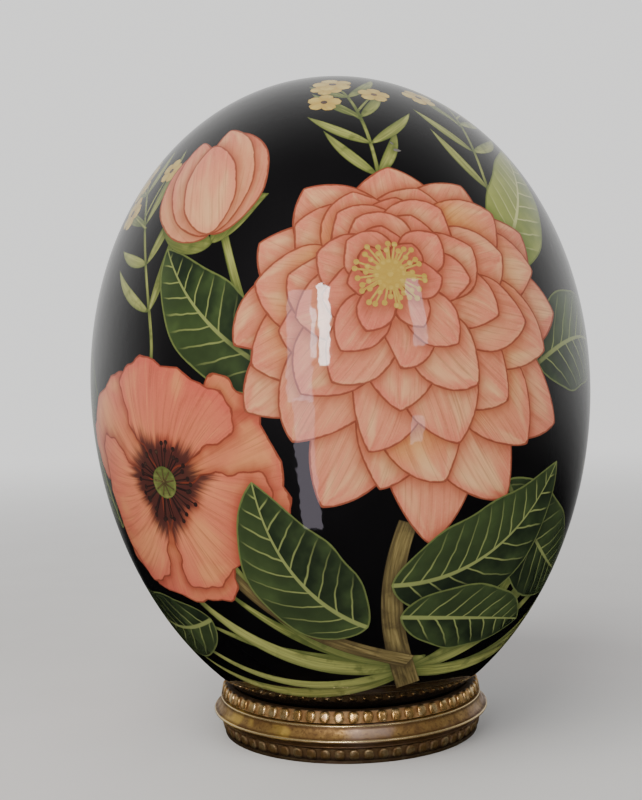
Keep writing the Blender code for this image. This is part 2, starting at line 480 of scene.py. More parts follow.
def grass(sheet, foot, fan, reach, half_width=1.6, paint="lime"):
    """Long blades that fan out from one foot. fan is a list of angles."""
    for angle in fan:
        length = reach * chance.uniform(0.75, 1.1)
        frond(sheet, paint, foot, polar(foot, angle, length), half_width * chance.uniform(0.8, 1.3),
              bow=chance.uniform(-0.10, 0.10) * length, foot=0.35, point=0.8, heel=0.03,
              warmth=chance.uniform(0.0, 1.0))


def narrow_leaf(sheet, root, angle, length, half_width=1.5, bow=0.08, paint="lime"):
    """One slender leaf."""
    frond(sheet, paint, root, polar(root, angle, length), half_width, bow=bow * length, foot=0.7,
          point=1.0, warmth=chance.uniform(0.1, 0.9))


def small_flower(sheet, middle, reach):
    """Five round petals and an eye."""
    turned = chance.uniform(0.0, 72.0)
    for petal_angle in np.arange(turned, turned + 360.0, 72.0)[:5]:
        frond(sheet, "pollen", middle, polar(middle, petal_angle, reach), 0.42 * reach, foot=0.9,
              point=0.5, warmth=chance.uniform(0.2, 1.0))
    grain(sheet, "thread", middle, 0.2 * reach, 0.8)


def spray(sheet, foot, angle, reach, pairs=4, bow=0.1):
    """A twig with narrow leaves and small flowers."""
    spine = bowed(foot, polar(foot, angle, reach), bow * reach)
    trail(sheet, "lime", spine[::6], 1.1, 0.6, 0.4)
    for pair in range(1, pairs + 1):
        spot = at(spine, pair / (pairs + 0.8))
        for side in (-1.0, 1.0):
            length = reach * chance.uniform(0.26, 0.42)
            narrow_leaf(sheet, spot, angle + side * chance.uniform(26.0, 48.0), length, 1.35, -0.07 * side)
    for share, side, stalk in ((0.6, -1.0, 0.26), (0.68, 1.0, 0.24), (0.84, -0.8, 0.16), (1.0, 0.0, 0.05)):
        start = at(spine, share)
        end = polar(start, angle + 36.0 * side, stalk * reach)
        trail(sheet, "lime", [start, end], 0.7, 0.5, 0.4)
        small_flower(sheet, end, chance.uniform(3.6, 5.0))


# %% [markdown]
# ## The arrangement
#
# The bouquet is laid from the bottom layer up: grass and sprays first, then leaves and stems,
# then the blooms, and last the few leaves that lie over them. A large dahlia sits on the right
# of the front and a poppy below it on the left. Another dahlia covers the back, with a poppy on
# each side. The ground stays black at the top and the bottom. Two small chips in the varnish
# above the front dahlia come last.

# %% Lay the bouquet
DAHLIA_ROWS = (
    (12, 47.0, 10.6, 0.05),
    (12, 40.0, 10.0, -0.25),
    (11, 32.5, 8.8, 0.10),
    (9, 25.5, 7.6, 0.30),
    (8, 18.5, 5.8, 0.60),
    (6, 12.5, 4.0, 0.90),
)


def scaled_rows(rows, size):
    """The same flower at another size."""
    return [(count, reach * size, width * size, warmth) for count, reach, width, warmth in rows]


def leafy_stem(sheet, points, width, leaves, half_width=8.0, paint="leaf"):
    """A stem with leaves. Each leaf is (share along the stem, angle, length)."""
    trail(sheet, "stem", points, width, 0.7 * width)
    spine = cutouts[-1].spine
    for share, angle, length in leaves:
        root = at(spine, share)
        broad_leaf(sheet, root, polar(root, angle, length), half_width * chance.uniform(0.85, 1.1),
                   chance.uniform(-0.13, 0.13) * length, paint, chance.uniform(0.0, 0.25))


# Behind everything: grass and sprays
grass(Sheet(-12.0, 124.0), (24.0, -19.0), (-96.0, -86.0, -77.0, -68.0, -59.0, -48.0), 62.0, 1.9)
grass(Sheet(38.0, 120.0), (-15.0, -25.0), (26.0, 38.0, 50.0, 62.0, 73.0, 84.0, 95.0), 60.0, 2.0)
grass(Sheet(104.0, 108.0), (0.0, -36.0), (-40.0, -24.0, -8.0, 10.0, 28.0), 66.0, 1.8)
grass(Sheet(-112.0, 88.0), (0.0, -44.0), (-34.0, -18.0, 2.0, 20.0, 34.0), 62.0, 1.8)
grass(Sheet(160.0, 118.0), (0.0, -24.0), (-80.0, -62.0, 60.0, 78.0, 96.0), 44.0, 1.8)
spray(Sheet(58.0, 40.0), (-18.0, -26.0), 30.0, 50.0, bow=0.08)
spray(Sheet(6.0, 36.0), (4.0, -28.0), -7.0, 42.0, bow=-0.05)
spray(Sheet(-62.0, 62.0), (22.0, -24.0), -32.0, 52.0, bow=-0.1)
spray(Sheet(-128.0, 60.0), (12.0, -30.0), -24.0, 54.0, bow=0.08)
spray(Sheet(122.0, 54.0), (0.0, -26.0), 16.0, 50.0, bow=-0.08)
spray(Sheet(-165.0, 40.0), (-6.0, -24.0), 8.0, 40.0, bow=0.06)

# Stems
trail(Sheet(8.0, 124.0), "stem", [(7.0, -24.0), (3.0, -9.0), (1.0, 6.0), (4.0, 22.0)], 5.6, 4.2)
trail(Sheet(0.0, 128.0), "stem", [(12.0, -10.0), (0.0, -3.0), (-14.0, 4.0), (-29.0, 14.0)], 4.0, 3.0)
trail(Sheet(-26.0, 66.0), "lime", [(14.0, -26.0), (6.0, -8.0), (0.0, 8.0), (-4.0, 16.0)], 2.2, 1.6, 0.3)
trail(Sheet(172.0, 124.0), "stem", [(-6.0, -24.0), (-2.0, -8.0), (0.0, 6.0), (-2.0, 22.0)], 5.4, 4.2)
leafy_stem(Sheet(112.0, 108.0), [(-6.0, -36.0), (-2.0, -18.0), (0.0, 0.0), (4.0, 20.0)], 3.6,
           ((0.3, 70.0, 26.0), (0.5, -62.0, 24.0), (0.78, 48.0, 26.0)))
leafy_stem(Sheet(-100.0, 100.0), [(4.0, -44.0), (0.0, -20.0), (-2.0, 0.0), (2.0, 20.0)], 3.6,
           ((0.25, -66.0, 28.0), (0.42, 70.0, 25.0), (0.72, -48.0, 27.0)))
leafy_stem(Sheet(-142.0, 112.0), [(12.0, -30.0), (6.0, -14.0), (2.0, 0.0), (6.0, 18.0)], 3.4,
           ((0.3, 76.0, 24.0), (0.55, -66.0, 26.0)))

# Leaves under the blooms
broad_leaf(Sheet(-24.0, 74.0), (14.0, -14.0), (-16.0, 16.0), 9.5, 4.0)
broad_leaf(Sheet(50.0, 56.0), (-16.0, -16.0), (14.0, 18.0), 9.0, -3.0, "fresh", 0.3)
broad_leaf(Sheet(62.0, 84.0), (-20.0, 0.0), (22.0, 2.0), 11.5, 4.0)
broad_leaf(Sheet(56.0, 112.0), (-22.0, 12.0), (22.0, -16.0), 11.0, -4.0)
broad_leaf(Sheet(-80.0, 92.0), (14.0, -24.0), (-10.0, 26.0), 11.0, -4.0)
broad_leaf(Sheet(-66.0, 126.0), (22.0, -2.0), (-20.0, 2.0), 9.5, 3.0)
broad_leaf(Sheet(178.0, 52.0), (-6.0, -24.0), (12.0, 14.0), 9.0, 3.0, "fresh", 0.3)
broad_leaf(Sheet(-140.0, 84.0), (-18.0, -6.0), (20.0, 12.0), 11.0, -3.0)
broad_leaf(Sheet(148.0, 70.0), (18.0, -6.0), (-18.0, 16.0), 10.0, 3.0)

# Tulips
for tulip_angle, leaf_reach in ((-66.0, 17.0), (44.0, 16.0)):
    narrow_leaf(Sheet(-29.0, 55.0), (1.0, -10.0), tulip_angle, leaf_reach, 3.2, 0.08)
tulip(Sheet(-29.0, 55.0), (0.0, -8.0), -14.0, 30.0)
tulip(Sheet(112.0, 84.0), (4.0, -8.0), 12.0, 34.0, "coral")
tulip(Sheet(-100.0, 78.0), (2.0, -6.0), -8.0, 35.0)
tulip(Sheet(-142.0, 112.0), (5.6, 15.0), 8.0, 25.0)

# Blooms
poppy(Sheet(-41.0, 100.0), (0.0, 0.0), 29.0, 12.0)
poppy(Sheet(134.0, 104.0), (5.0, 0.0), 26.0, 40.0)
poppy(Sheet(-98.0, 116.0), (-4.0, 0.0), 21.0, -20.0)
open_bloom(Sheet(13.0, 75.0), DAHLIA_ROWS, -20.0, "petal")
open_bloom(Sheet(-172.0, 78.0), scaled_rows(DAHLIA_ROWS, 0.92), 16.0, "petal")

# Leaves over the blooms
broad_leaf(Sheet(24.0, 114.0), (-14.0, -6.0), (28.0, 16.0), 11.5, -5.0)
broad_leaf(Sheet(-6.0, 120.0), (8.0, -8.0), (-14.0, 26.0), 11.0, 4.5)
broad_leaf(Sheet(28.0, 130.0), (-14.0, 6.0), (22.0, -4.0), 8.5, 3.5)
broad_leaf(Sheet(-172.0, 122.0), (8.0, -8.0), (-20.0, 20.0), 12.0, 4.0)
broad_leaf(Sheet(158.0, 122.0), (0.0, -6.0), (20.0, 16.0), 10.0, -4.0)

# Chips in the varnish
frond(Sheet(16.8, 44.8), "chip", (-0.25, 0.4), (0.3, -0.5), 0.24, foot=0.5, point=0.5)
frond(Sheet(17.8, 46.6), "chip", (-0.9, 0.3), (0.8, -0.1), 0.42, bow=-0.1, foot=0.4, point=0.7)

print(f"{len(cutouts)} cut-outs, {sum(len(c.outline) for c in cutouts)} outline points")

# %% [markdown]
# ## A pattern with real edges
#
# The bouquet could be a picture wrapped round the egg, but a picture blurs when you come near.
# Instead every cut edge becomes an edge of the shell's own mesh, and nothing is raised. First the
# shell is spread out flat on a chart, with the blunt end in the middle. The chart is the one that
# keeps angles true, so the triangles keep a good shape. A cut edge that lies wholly under
# another cut-out isn't seen, so it is dropped.

# %% Edges that show
OPEN_END = math.radians(174.0)  # the chart stops here, and a fan of faces closes the shell


def chart(directions):
    """From directions on the shell to the flat chart."""
    drop = np.arccos(np.clip(directions[:, 2], -1.0, 1.0))
    turn = np.arctan2(directions[:, 0], -directions[:, 1])
    reach = 2.0 * np.tan(drop / 2.0)
    return np.stack([reach * np.sin(turn), -reach * np.cos(turn)], -1)


def unchart(points):
    """From the flat chart back to drop and turn."""
    drop = 2.0 * np.arctan(np.hypot(*points.T) / 2.0)
    return drop, np.arctan2(points[:, 0], -points[:, 1])


def under(directions, cutout, slack=0.0):
    """Which of these points are near enough to a cut-out to lie under it."""
    return directions @ cutout.middle > cutout.cosine - slack


def hidden_points(directions, levels):
    """Which points lie under a cut-out that was laid later than their own."""
    hidden = np.zeros(len(directions), bool)
    for level, cutout in enumerate(cutouts):
        near = np.flatnonzero((levels < level) & ~hidden & under(directions, cutout))
        if len(near):
            hidden[near] = contains(cutout.outline, cutout.sheet.lift(directions[near]))
    return hidden


def gather_edges():
    """All outlines and ribs as one set of points and edges, and the cut-out of each point."""
    points, edges, levels = [], [], []
    count = 0
    for level, cutout in enumerate(cutouts):
        rib = cutout.sheet.lay(cutout.rib())
        around = np.arange(len(cutout.directions))
        along = len(around) + np.arange(len(rib))
        points += [cutout.directions, rib]
        edges.append(count + np.stack([around, np.roll(around, -1)], -1))
        edges.append(count + np.stack([along[:-1], along[1:]], -1))
        levels.append(np.full(len(around) + len(rib), level))
        count += len(around) + len(rib)
    return np.concatenate(points), np.concatenate(edges), np.concatenate(levels)


edge_points, edges, edge_levels = gather_edges()
hidden = hidden_points(edge_points, edge_levels)
edges = edges[~(hidden[edges[:, 0]] & hidden[edges[:, 1]])]
print(f"{len(edge_points)} points on cut edges, {len(edges)} edges that show")

# %% [markdown]
# The open areas get points of their own, spread as the seeds of a sunflower are: each is one
# golden angle round from the last. A seam runs down the back for the UV map, and Blender's
# constrained Delaunay function joins everything into triangles.

# %% Triangles
GRID_POINTS = 15000
CLEAR = 0.011  # share of the radius kept free of grid points beside a cut edge
SEAM_POINTS = 70
RIM_POINTS = 60
GOLDEN_ANGLE = math.pi * (3.0 - math.sqrt(5.0))


def grid_directions():
    """Points spread evenly over the shell."""
    place = np.arange(GRID_POINTS)
    drop = np.arccos(1.0 - (2.0 * place + 1.0) / GRID_POINTS)
    keep = (drop < OPEN_END - 0.03) & (drop > 0.01)
    return direction(drop[keep], (place * GOLDEN_ANGLE)[keep])


def clear_of(directions, others):
    """Which points stand clear of the others."""
    tree = kdtree.KDTree(len(others))
    for index, other in enumerate(others):
        tree.insert(other, index)
    tree.balance()
    return np.array([tree.find(point)[2] > CLEAR for point in directions])


def divide_shell():
    """The chart in triangles: its points, and three point numbers for each triangle."""
    used = np.unique(edges)
    renumber = np.zeros(len(edge_points), int)
    renumber[used] = np.arange(len(used))
    seam = direction(np.linspace(0.0, OPEN_END, SEAM_POINTS), np.full(SEAM_POINTS, math.pi))
    rim_turns = np.linspace(-math.pi, math.pi, RIM_POINTS + 1)[1:-1]
    rim = direction(np.full(len(rim_turns), OPEN_END), rim_turns)
    grid = grid_directions()
    grid = grid[clear_of(grid, np.concatenate([edge_points[used], seam]))]
    points = chart(np.concatenate([edge_points[used], seam, rim, grid]))
    seam_numbers = len(used) + np.arange(SEAM_POINTS)
    seam_edges = np.stack([seam_numbers[:-1], seam_numbers[1:]], -1)
    all_edges = np.concatenate([renumber[edges], seam_edges])
    corners = [Vector(point) for point in points.tolist()]
    made = delaunay_2d_cdt(corners, all_edges.tolist(), [], 0, 1e-6, False)
    return np.array([tuple(point) for point in made[0]]), np.array(made[2])


chart_points, triangles = divide_shell()
print(f"{len(chart_points)} points, {len(triangles)} triangles")

# %% [markdown]
# ## What each triangle shows
#
# The topmost cut-out over a triangle's middle is the one it belongs to. Each corner then gets
# its place in that cut-out, and a *shade*: how near it is to the edge of something that lies on
# top of it. Paper casts no real shadow here, but the painter put one there to lift the petals
# off each other.

# %% Owners and places
SHADE_REACH = 4.0  # mm
SHADE_FADE = 1.5  # mm
GROUND = -1


def find_owners():
    """The number of the topmost cut-out over each triangle."""
    drop, turn = unchart(chart_points[triangles].mean(1))
    middles = direction(drop, turn)
    owners = np.full(len(triangles), GROUND)
    for level, cutout in enumerate(cutouts):
        near = np.flatnonzero(under(middles, cutout))
        if len(near):
            inside = contains(cutout.outline, cutout.sheet.lift(middles[near]))
            owners[near[inside]] = level
    return owners


drops, turns = unchart(chart_points)
shell_directions = direction(drops, turns)
owners = find_owners()

# One entry for each meeting of a point and an owner
corner_owners = np.repeat(owners, 3)
meetings, corner_meeting = np.unique(
    np.stack([triangles.ravel(), corner_owners], -1), axis=0, return_inverse=True)
corner_meeting = corner_meeting.ravel()
meeting_directions = shell_directions[meetings[:, 0]]
meeting_owners = meetings[:, 1]


def find_places():
    """Along, across and inset, and the sideways distance in mm, for every meeting."""
    places = np.zeros((len(meetings), 3))
    sideways = np.zeros(len(meetings))
    for level, cutout in enumerate(cutouts):
        mine = np.flatnonzero(meeting_owners == level)
        if len(mine):
            points = cutout.sheet.lift(meeting_directions[mine])
            along, across, off = cutout.place(points)
            places[mine] = np.stack([along, across, cutout.inset(points)], -1)
            sideways[mine] = off
    return places, sideways


def find_shades():
    """How deep each meeting lies in the painted shade of what is above it."""
    shades = np.zeros(len(meetings))
    slack = SHADE_REACH * MM / HALF_WIDTH
    for level, cutout in enumerate(cutouts):
        below = np.flatnonzero((meeting_owners < level) & (meeting_owners != GROUND)
                               & under(meeting_directions, cutout, slack))
        if len(below):
            gap = cutout.inset(cutout.sheet.lift(meeting_directions[below]))
            shades[below] = np.maximum(shades[below], np.exp(-gap / SHADE_FADE))
    return shades


places, sideways = find_places()
shades = find_shades()
print(f"{(owners == GROUND).mean():.0%} of the triangles are ground, {len(meetings)} corner kinds")

# %% [markdown]
# ## The flat pattern
#
# The triangles become a mesh that still lies flat: each point is as far from the middle as its
# drop. The mesh carries the numbers for the paints as attributes, one value for each corner,
# because two pieces of paper that meet at a point have different places there. The UV map is
# the shell unrolled, with the seam at the back.

# %% Flat pattern
PAINTS = ("ground", "petal", "coral", "thread", "leaf", "fresh", "lime", "stem", "pollen", "chip")
UV_MARGIN = 0.004
ARC_STEPS = 721


def close_end(faces):
    """Faces that close the shell's sharp end, as a fan round one new point."""
    sides = np.concatenate([faces[:, [0, 1]], faces[:, [1, 2]], faces[:, [2, 0]]])
    known = {tuple(side) for side in sides.tolist()}
    open_sides = [side for side in known if (side[1], side[0]) not in known]
    return np.array([(end, start, len(chart_points)) for start, end in open_sides])


def arc_share(drop):
    """How far down the shell a point is, measured along it, from 0 to 1."""
    steps = np.linspace(0.0, math.pi, ARC_STEPS)
    rates = np.hypot(*shell_rates((steps[1:] + steps[:-1]) / 2.0))
    lengths = np.append(0.0, np.cumsum(rates))
    return np.interp(drop, steps, lengths / lengths[-1])


def unrolled(faces, drop, turn):
    """A UV for each corner. A corner on the seam or at an end follows its own face."""
    flat = np.stack([drop * np.sin(turn), -drop * np.cos(turn)], -1)
    middle = flat[faces].mean(1)
    face_turn = np.arctan2(middle[:, 0], -middle[:, 1])
    corner_turn = turn[faces]
    face_turn[(drop[faces] >= math.pi).any(1)] = np.nan
    bottom = np.isnan(face_turn)
    rim_turn = corner_turn[bottom, :2]
    face_turn[bottom] = np.arctan2(np.sin(rim_turn).mean(1), np.cos(rim_turn).mean(1))
    ends = (drop[faces] < 1e-4) | (drop[faces] > math.pi - 1e-4)
    corner_turn = np.where(ends, face_turn[:, None], corner_turn)
    jump = np.round((corner_turn - face_turn[:, None]) / (2.0 * math.pi)) * 2.0 * math.pi
    u = (corner_turn - jump) / (2.0 * math.pi) + 0.5
    v = 1.0 - arc_share(drop)[faces]
    both = np.stack([u, v], -1).reshape(-1, 2)
    return UV_MARGIN + (1.0 - 2.0 * UV_MARGIN) * np.clip(both, 0.0, 1.0)


def corner_values(mesh, name, values):
    """Store three numbers at each corner of a mesh."""
    layer = mesh.attributes.new(name, "FLOAT_VECTOR", "CORNER")
    layer.data.foreach_set("vector", np.ascontiguousarray(values, np.float32).ravel())


def make_pattern():
    """The flat pattern as a mesh."""
    fan = close_end(triangles)
    faces = np.concatenate([triangles, fan])
    drop = np.append(drops, math.pi)
    turn = np.append(turns, 0.0)
    flat = np.stack([drop * np.sin(turn), -drop * np.cos(turn), np.zeros(len(drop))], -1)
    mesh = bpy.data.meshes.new("flat_pattern")
    mesh.from_pydata(flat.tolist(), [], faces.tolist())
    layer = mesh.uv_layers.new(name="OFBake")
    layer.data.foreach_set("uv", unrolled(faces, drop, turn).astype(np.float32).ravel())
    kinds = np.array([PAINTS.index(cutout.paint) for cutout in cutouts] + [0])
    paint = np.concatenate([kinds[owners], np.zeros(len(fan), int)])
    mesh.attributes.new("paint", "INT", "FACE").data.foreach_set("value", paint.astype(np.int32))
    seeds = np.append(chance.uniform(0.0, 100.0, len(cutouts)), 0.0)
    warmths = np.append([cutout.warmth for cutout in cutouts], 0.0)
    lengths = np.append([cutout.length for cutout in cutouts], 1.0)
    own = meeting_owners
    extra = np.zeros((3 * len(fan), 3))
    tones = np.stack([seeds[own], warmths[own], shades], -1)
    spans = np.stack([sideways, lengths[own], np.zeros(len(own))], -1)
    for name, values in (("place", places), ("tone", tones), ("span", spans)):
        corner_values(mesh, name, np.concatenate([values[corner_meeting], extra]))
    return mesh, drop, turn


pattern, point_drops, point_turns = make_pattern()
print(f"flat pattern: {len(pattern.vertices)} points, {len(pattern.polygons)} faces")

# %% [markdown]
# ## Folding the pattern
#
# A short Geometry Nodes tree folds the flat pattern into an egg: it reads each point's drop and
# turn from where it lies, and works out radius and height by the egg's rule. The sizes are inputs
# of the tree, so the same pattern would fit a fatter or a taller egg. The last nodes give each
# face the paint that its number asks for.


# %% Wiring helper
class Wiring:
    """Adds nodes to a tree. A value for a socket is a constant or another node's output."""

    def __init__(self, tree):
        self.tree = tree

    def plug(self, socket, value):
        if isinstance(value, bpy.types.NodeSocket):
            self.tree.links.new(value, socket)
        else:
            socket.default_value = value

    def add(self, kind, values=None, **settings):
        node = self.tree.nodes.new(kind)
        for name, value in settings.items():
            setattr(node, name, value)
        for name, value in (values or {}).items():
            self.plug(node.inputs[name], value)
        return node

    def maths(self, operation, *values, clamp=False):
        node = self.add("ShaderNodeMath", operation=operation, use_clamp=clamp)
        for socket, value in zip(node.inputs, values):
            self.plug(socket, value)
        return node.outputs[0]


def new_tree(name, inputs):
    """A Geometry Nodes tree with a geometry input and output and named number inputs."""
    tree = bpy.data.node_groups.new(name, "GeometryNodeTree")
    tree.interface.new_socket("Geometry", in_out="INPUT", socket_type="NodeSocketGeometry")
    for label, kind in inputs.items():
        tree.interface.new_socket(label, in_out="INPUT", socket_type=kind)
    tree.interface.new_socket("Geometry", in_out="OUTPUT", socket_type="NodeSocketGeometry")
    return tree


def run_tree(name, mesh, tree, values):
    """A new piece: the mesh that a tree makes, with the tree's named inputs set to these values."""
    maker = bpy.data.objects.new(name, mesh)
    bpy.context.scene.collection.objects.link(maker)
    modifier = maker.modifiers.new(name, "NODES")
    modifier.node_group = tree
    for socket in tree.interface.items_tree:
        if socket.in_out == "INPUT" and socket.name in values:
            modifier[socket.identifier] = values[socket.name]
    bpy.context.view_layer.update()
    shown = maker.evaluated_get(bpy.context.evaluated_depsgraph_get())
    made = bpy.data.meshes.new_from_object(shown)
    made.name = name
    maker.modifiers.clear()
    maker.data = made
    return maker


# %% [markdown]
# ## Varnish
#
# Every paint on the shell lies under the same clear varnish, so one function makes them all: a
# matt paint with a clear coat on top. The coat is thick and was brushed, so it isn't quite
# flat. Long soft waves bend the reflections a little, and a fine ripple breaks up their
# edges. The paints get their places from the attributes that we stored.

# %% Varnished paints
WAVE_LENGTH = 0.011
WAVE_DEPTH = 0.00006
RIPPLE_LENGTH = 0.0022
RIPPLE_DEPTH = 0.000018
BUBBLE_SPACING = 0.004
BUBBLE_SIZE = 0.0003
BUBBLE_HEIGHT = 0.00004


def linear(level):
    """One channel of a screen colour, 0 to 255, as the amount of light it stands for."""
    share = level / 255.0
    return share / 12.92 if share <= 0.04045 else ((share + 0.055) / 1.055) ** 2.4


def ink(red, green, blue):
    """A paint colour named by its screen values."""
    return (linear(red), linear(green), linear(blue), 1.0)


class Paint(Wiring):
    """A material in the making, with the tools a painter needs."""

    def __init__(self, name):
        self.material = bpy.data.materials.new(name)
        self.material.use_nodes = True
        super().__init__(self.material.node_tree)
        self.shader = self.tree.nodes["Principled BSDF"]

    def three(self, name):
        """The three numbers of a corner attribute."""
        stored = self.add("ShaderNodeAttribute", attribute_name=name)
        return self.add("ShaderNodeSeparateXYZ", {"Vector": stored.outputs["Vector"]}).outputs

    def where(self):
        return self.add("ShaderNodeTexCoord").outputs["Object"]

    def join(self, x, y, z=0.0):
        return self.add("ShaderNodeCombineXYZ", {"X": x, "Y": y, "Z": z}).outputs[0]

    def noise(self, vector, scale, detail=2.0, roughness=0.5):
        return self.add("ShaderNodeTexNoise", {"Vector": vector, "Scale": scale, "Detail": detail,
                                               "Roughness": roughness}).outputs[0]

    def ease(self, value, start, end, low=0.0, high=1.0):
        """A smooth change from low to high while value goes from start to end."""
        return self.add("ShaderNodeMapRange", {
            "Value": value, "From Min": start, "From Max": end, "To Min": low, "To Max": high,
        }, interpolation_type="SMOOTHSTEP").outputs[0]

    def mix(self, factor, first, second, how="MIX"):
        node = self.add("ShaderNodeMix", data_type="RGBA", blend_type=how)
        for place, value in ((0, factor), (6, first), (7, second)):
            self.plug(node.inputs[place], value)
        return node.outputs[2]

    def ramp(self, value, *stops):
        """Colours at places from 0 to 1."""
        node = self.add("ShaderNodeValToRGB", {"Fac": value})
        node.color_ramp.interpolation = "B_SPLINE"
        for index, (place, colour) in enumerate(stops):
            if index < 2:
                stop = node.color_ramp.elements[index]
                stop.position = place
            else:
                stop = node.color_ramp.elements.new(place)
            stop.color = colour
        return node.outputs[0]

    def bump(self, height, distance, under=None):
        values = {"Height": height, "Distance": distance, "Strength": 1.0}
        if under is not None:
            values["Normal"] = under
        return self.add("ShaderNodeBump", values).outputs[0]

    def varnish(self, colour):
        """Finish the material: this colour under clear varnish."""
        waves = self.noise(self.where(), 1.0 / WAVE_LENGTH, 1.0, 0.4)
        ripples = self.noise(self.where(), 1.0 / RIPPLE_LENGTH, 1.0, 0.5)
        cells = self.add("ShaderNodeTexVoronoi", {"Vector": self.where(), "Scale": 1.0 / BUBBLE_SPACING})
        bubble = self.ease(cells.outputs["Distance"], BUBBLE_SIZE / BUBBLE_SPACING, 0.0)
        chosen = self.add("ShaderNodeSeparateXYZ", {"Vector": cells.outputs["Color"]}).outputs[0]
        bubble = self.maths("MULTIPLY", bubble, self.maths("GREATER_THAN", chosen, 0.86))
        surface = self.bump(ripples, RIPPLE_DEPTH, self.bump(waves, WAVE_DEPTH))
        surface = self.bump(bubble, BUBBLE_HEIGHT, surface)
        self.plug(self.shader.inputs["Base Color"], colour)
        self.plug(self.shader.inputs["Normal"], surface)
        self.plug(self.shader.inputs["Coat Normal"], surface)
        self.shader.inputs["Roughness"].default_value = 0.62
        self.shader.inputs["Specular IOR Level"].default_value = 0.2
        self.shader.inputs["Coat Weight"].default_value = 1.0
        self.shader.inputs["Coat Roughness"].default_value = 0.035
        self.shader.inputs["Coat IOR"].default_value = 1.5
        return self.material


# %% [markdown]
# ## Petal paint
#
# The petals look like old watercolour: pale at the foot, rosy at the tip, with fine veins that run
# lengthwise, a blush along each edge and a thin red-brown outline. All of it comes from the
# place of a point in its petal. Noise stretched along the petal makes streaks and veins, and
# each petal's own seed moves the noise, so that no two are alike. A poppy's petal is so broad
# that its veins fan out, so there the sideways distance is divided by the distance from the
# foot, and the foot is dark.

# %% Petals
OUTLINE = ink(132, 58, 36)
PETAL_SHADE = ink(168, 76, 50)
YELLOW_WASH = ink(232, 176, 66)
FAN_CENTRE = 6.0  # mm behind the foot, where the veins of a broad petal would meet
FAN_REACH = 18.0  # mm from there, where they are as far apart as on a narrow petal


def petal_paint(name, foot, middle, tip, blush, outline=OUTLINE, shade=PETAL_SHADE, blotch=None):
    """Watercolour petals. Warm petals lean towards the blush, and cool ones have a yellow wash.

    A blotch is the dark foot of a broad petal, with veins that fan out.
    """
    paint = Paint(name)
    along, across, inset = paint.three("place")
    seed, warmth, contact = paint.three("tone")
    sideways, length, _ = paint.three("span")
    if blotch:
        down = paint.maths("MULTIPLY", along, length)
        spread = paint.maths("DIVIDE", sideways, paint.maths("ADD", down, FAN_CENTRE))
        sideways = paint.maths("MULTIPLY", spread, FAN_REACH)
    colour = paint.ramp(along, (0.0, foot), (0.45, middle), (1.0, tip))
    cloud = paint.noise(paint.join(across, along, seed), 1.6, 2.0)
    colour = paint.mix(paint.ease(cloud, 0.42, 0.72, 0.0, 0.75), colour, foot)
    drift = paint.noise(paint.where(), 32.0)
    cool = paint.ease(paint.maths("SUBTRACT", drift, warmth), 0.45, 0.85, 0.0, 0.85)
    wash = paint.maths("MULTIPLY", cool, paint.ease(along, 0.95, 0.3))
    colour = paint.mix(wash, colour, YELLOW_WASH)
    warm = paint.maths("ADD", warmth, paint.maths("MULTIPLY", drift, 0.35))
    colour = paint.mix(paint.ease(warm, 0.15, 1.2, 0.0, 0.8), colour, blush)
    streak = paint.noise(paint.join(paint.maths("MULTIPLY", sideways, 0.8),
                                    paint.maths("MULTIPLY", along, 1.5), seed), 1.0, 3.0, 0.6)
    colour = paint.mix(paint.ease(streak, 0.5, 0.68, 0.0, 0.26), colour, shade)
    colour = paint.mix(paint.ease(streak, 0.46, 0.3, 0.0, 0.30), colour, foot)
    vein = paint.noise(paint.join(paint.maths("MULTIPLY", sideways, 2.6),
                                  paint.maths("MULTIPLY", along, 1.2), seed), 1.0, 1.0, 0.5)
    colour = paint.mix(paint.ease(vein, 0.56, 0.68, 0.0, 0.22), colour, outline)
    edge = paint.ease(inset, 2.8, 0.2, 0.0, 0.45)
    colour = paint.mix(edge, colour, blush)
    tooth = paint.noise(paint.where(), 2200.0, 2.0, 0.7)
    colour = paint.mix(paint.ease(tooth, 0.5, 0.75, 0.0, 0.16), colour, foot)
    colour = paint.mix(paint.maths("MULTIPLY", contact, 0.75), colour, shade)
    if blotch:
        ragged = paint.maths("SUBTRACT", along, paint.maths("MULTIPLY", streak, 0.3))
        colour = paint.mix(paint.ease(ragged, 0.26, 0.10, 0.0, 0.9), colour, blotch)
    wander = paint.maths("MULTIPLY", paint.noise(paint.where(), 600.0), 0.5)
    line = paint.ease(paint.maths("SUBTRACT", inset, wander), 0.26, 0.0, 0.0, 0.85)
    colour = paint.mix(line, colour, outline)
    return paint.varnish(colour)


def black_ground():
    """Black lacquer."""
    paint = Paint("black_ground")
    depth = paint.noise(paint.where(), 60.0, 2.0)
    return paint.varnish(paint.ramp(depth, (0.3, (0.0012, 0.0010, 0.0016, 1.0)),
                                    (0.7, (0.0030, 0.0026, 0.0034, 1.0))))


petal = petal_paint("salmon_petal", ink(255, 208, 150), ink(246, 166, 122), ink(232, 134, 106),
                    ink(230, 122, 100))
coral = petal_paint("coral_petal", ink(246, 172, 110), ink(238, 140, 104), ink(222, 108, 84),
                    ink(216, 94, 80), shade=ink(160, 62, 44), blotch=ink(62, 34, 34))
ground = black_ground()
print("petals mixed")

# %% [markdown]
# ## Leaf paint
#
# The broad leaves are dark green with a pale midrib and side veins that leave it like a
# herringbone. A herringbone is easy to write: lengthwise distance minus sideways distance,
# repeated every few millimetres. The same repeat, used softly, makes the leaf swell between its
# veins.

# %% Leaves
VEIN_SPACING = 4.6  # mm
HALF_OFFSET = 2.1  # mm between the veins of one half and those of the other


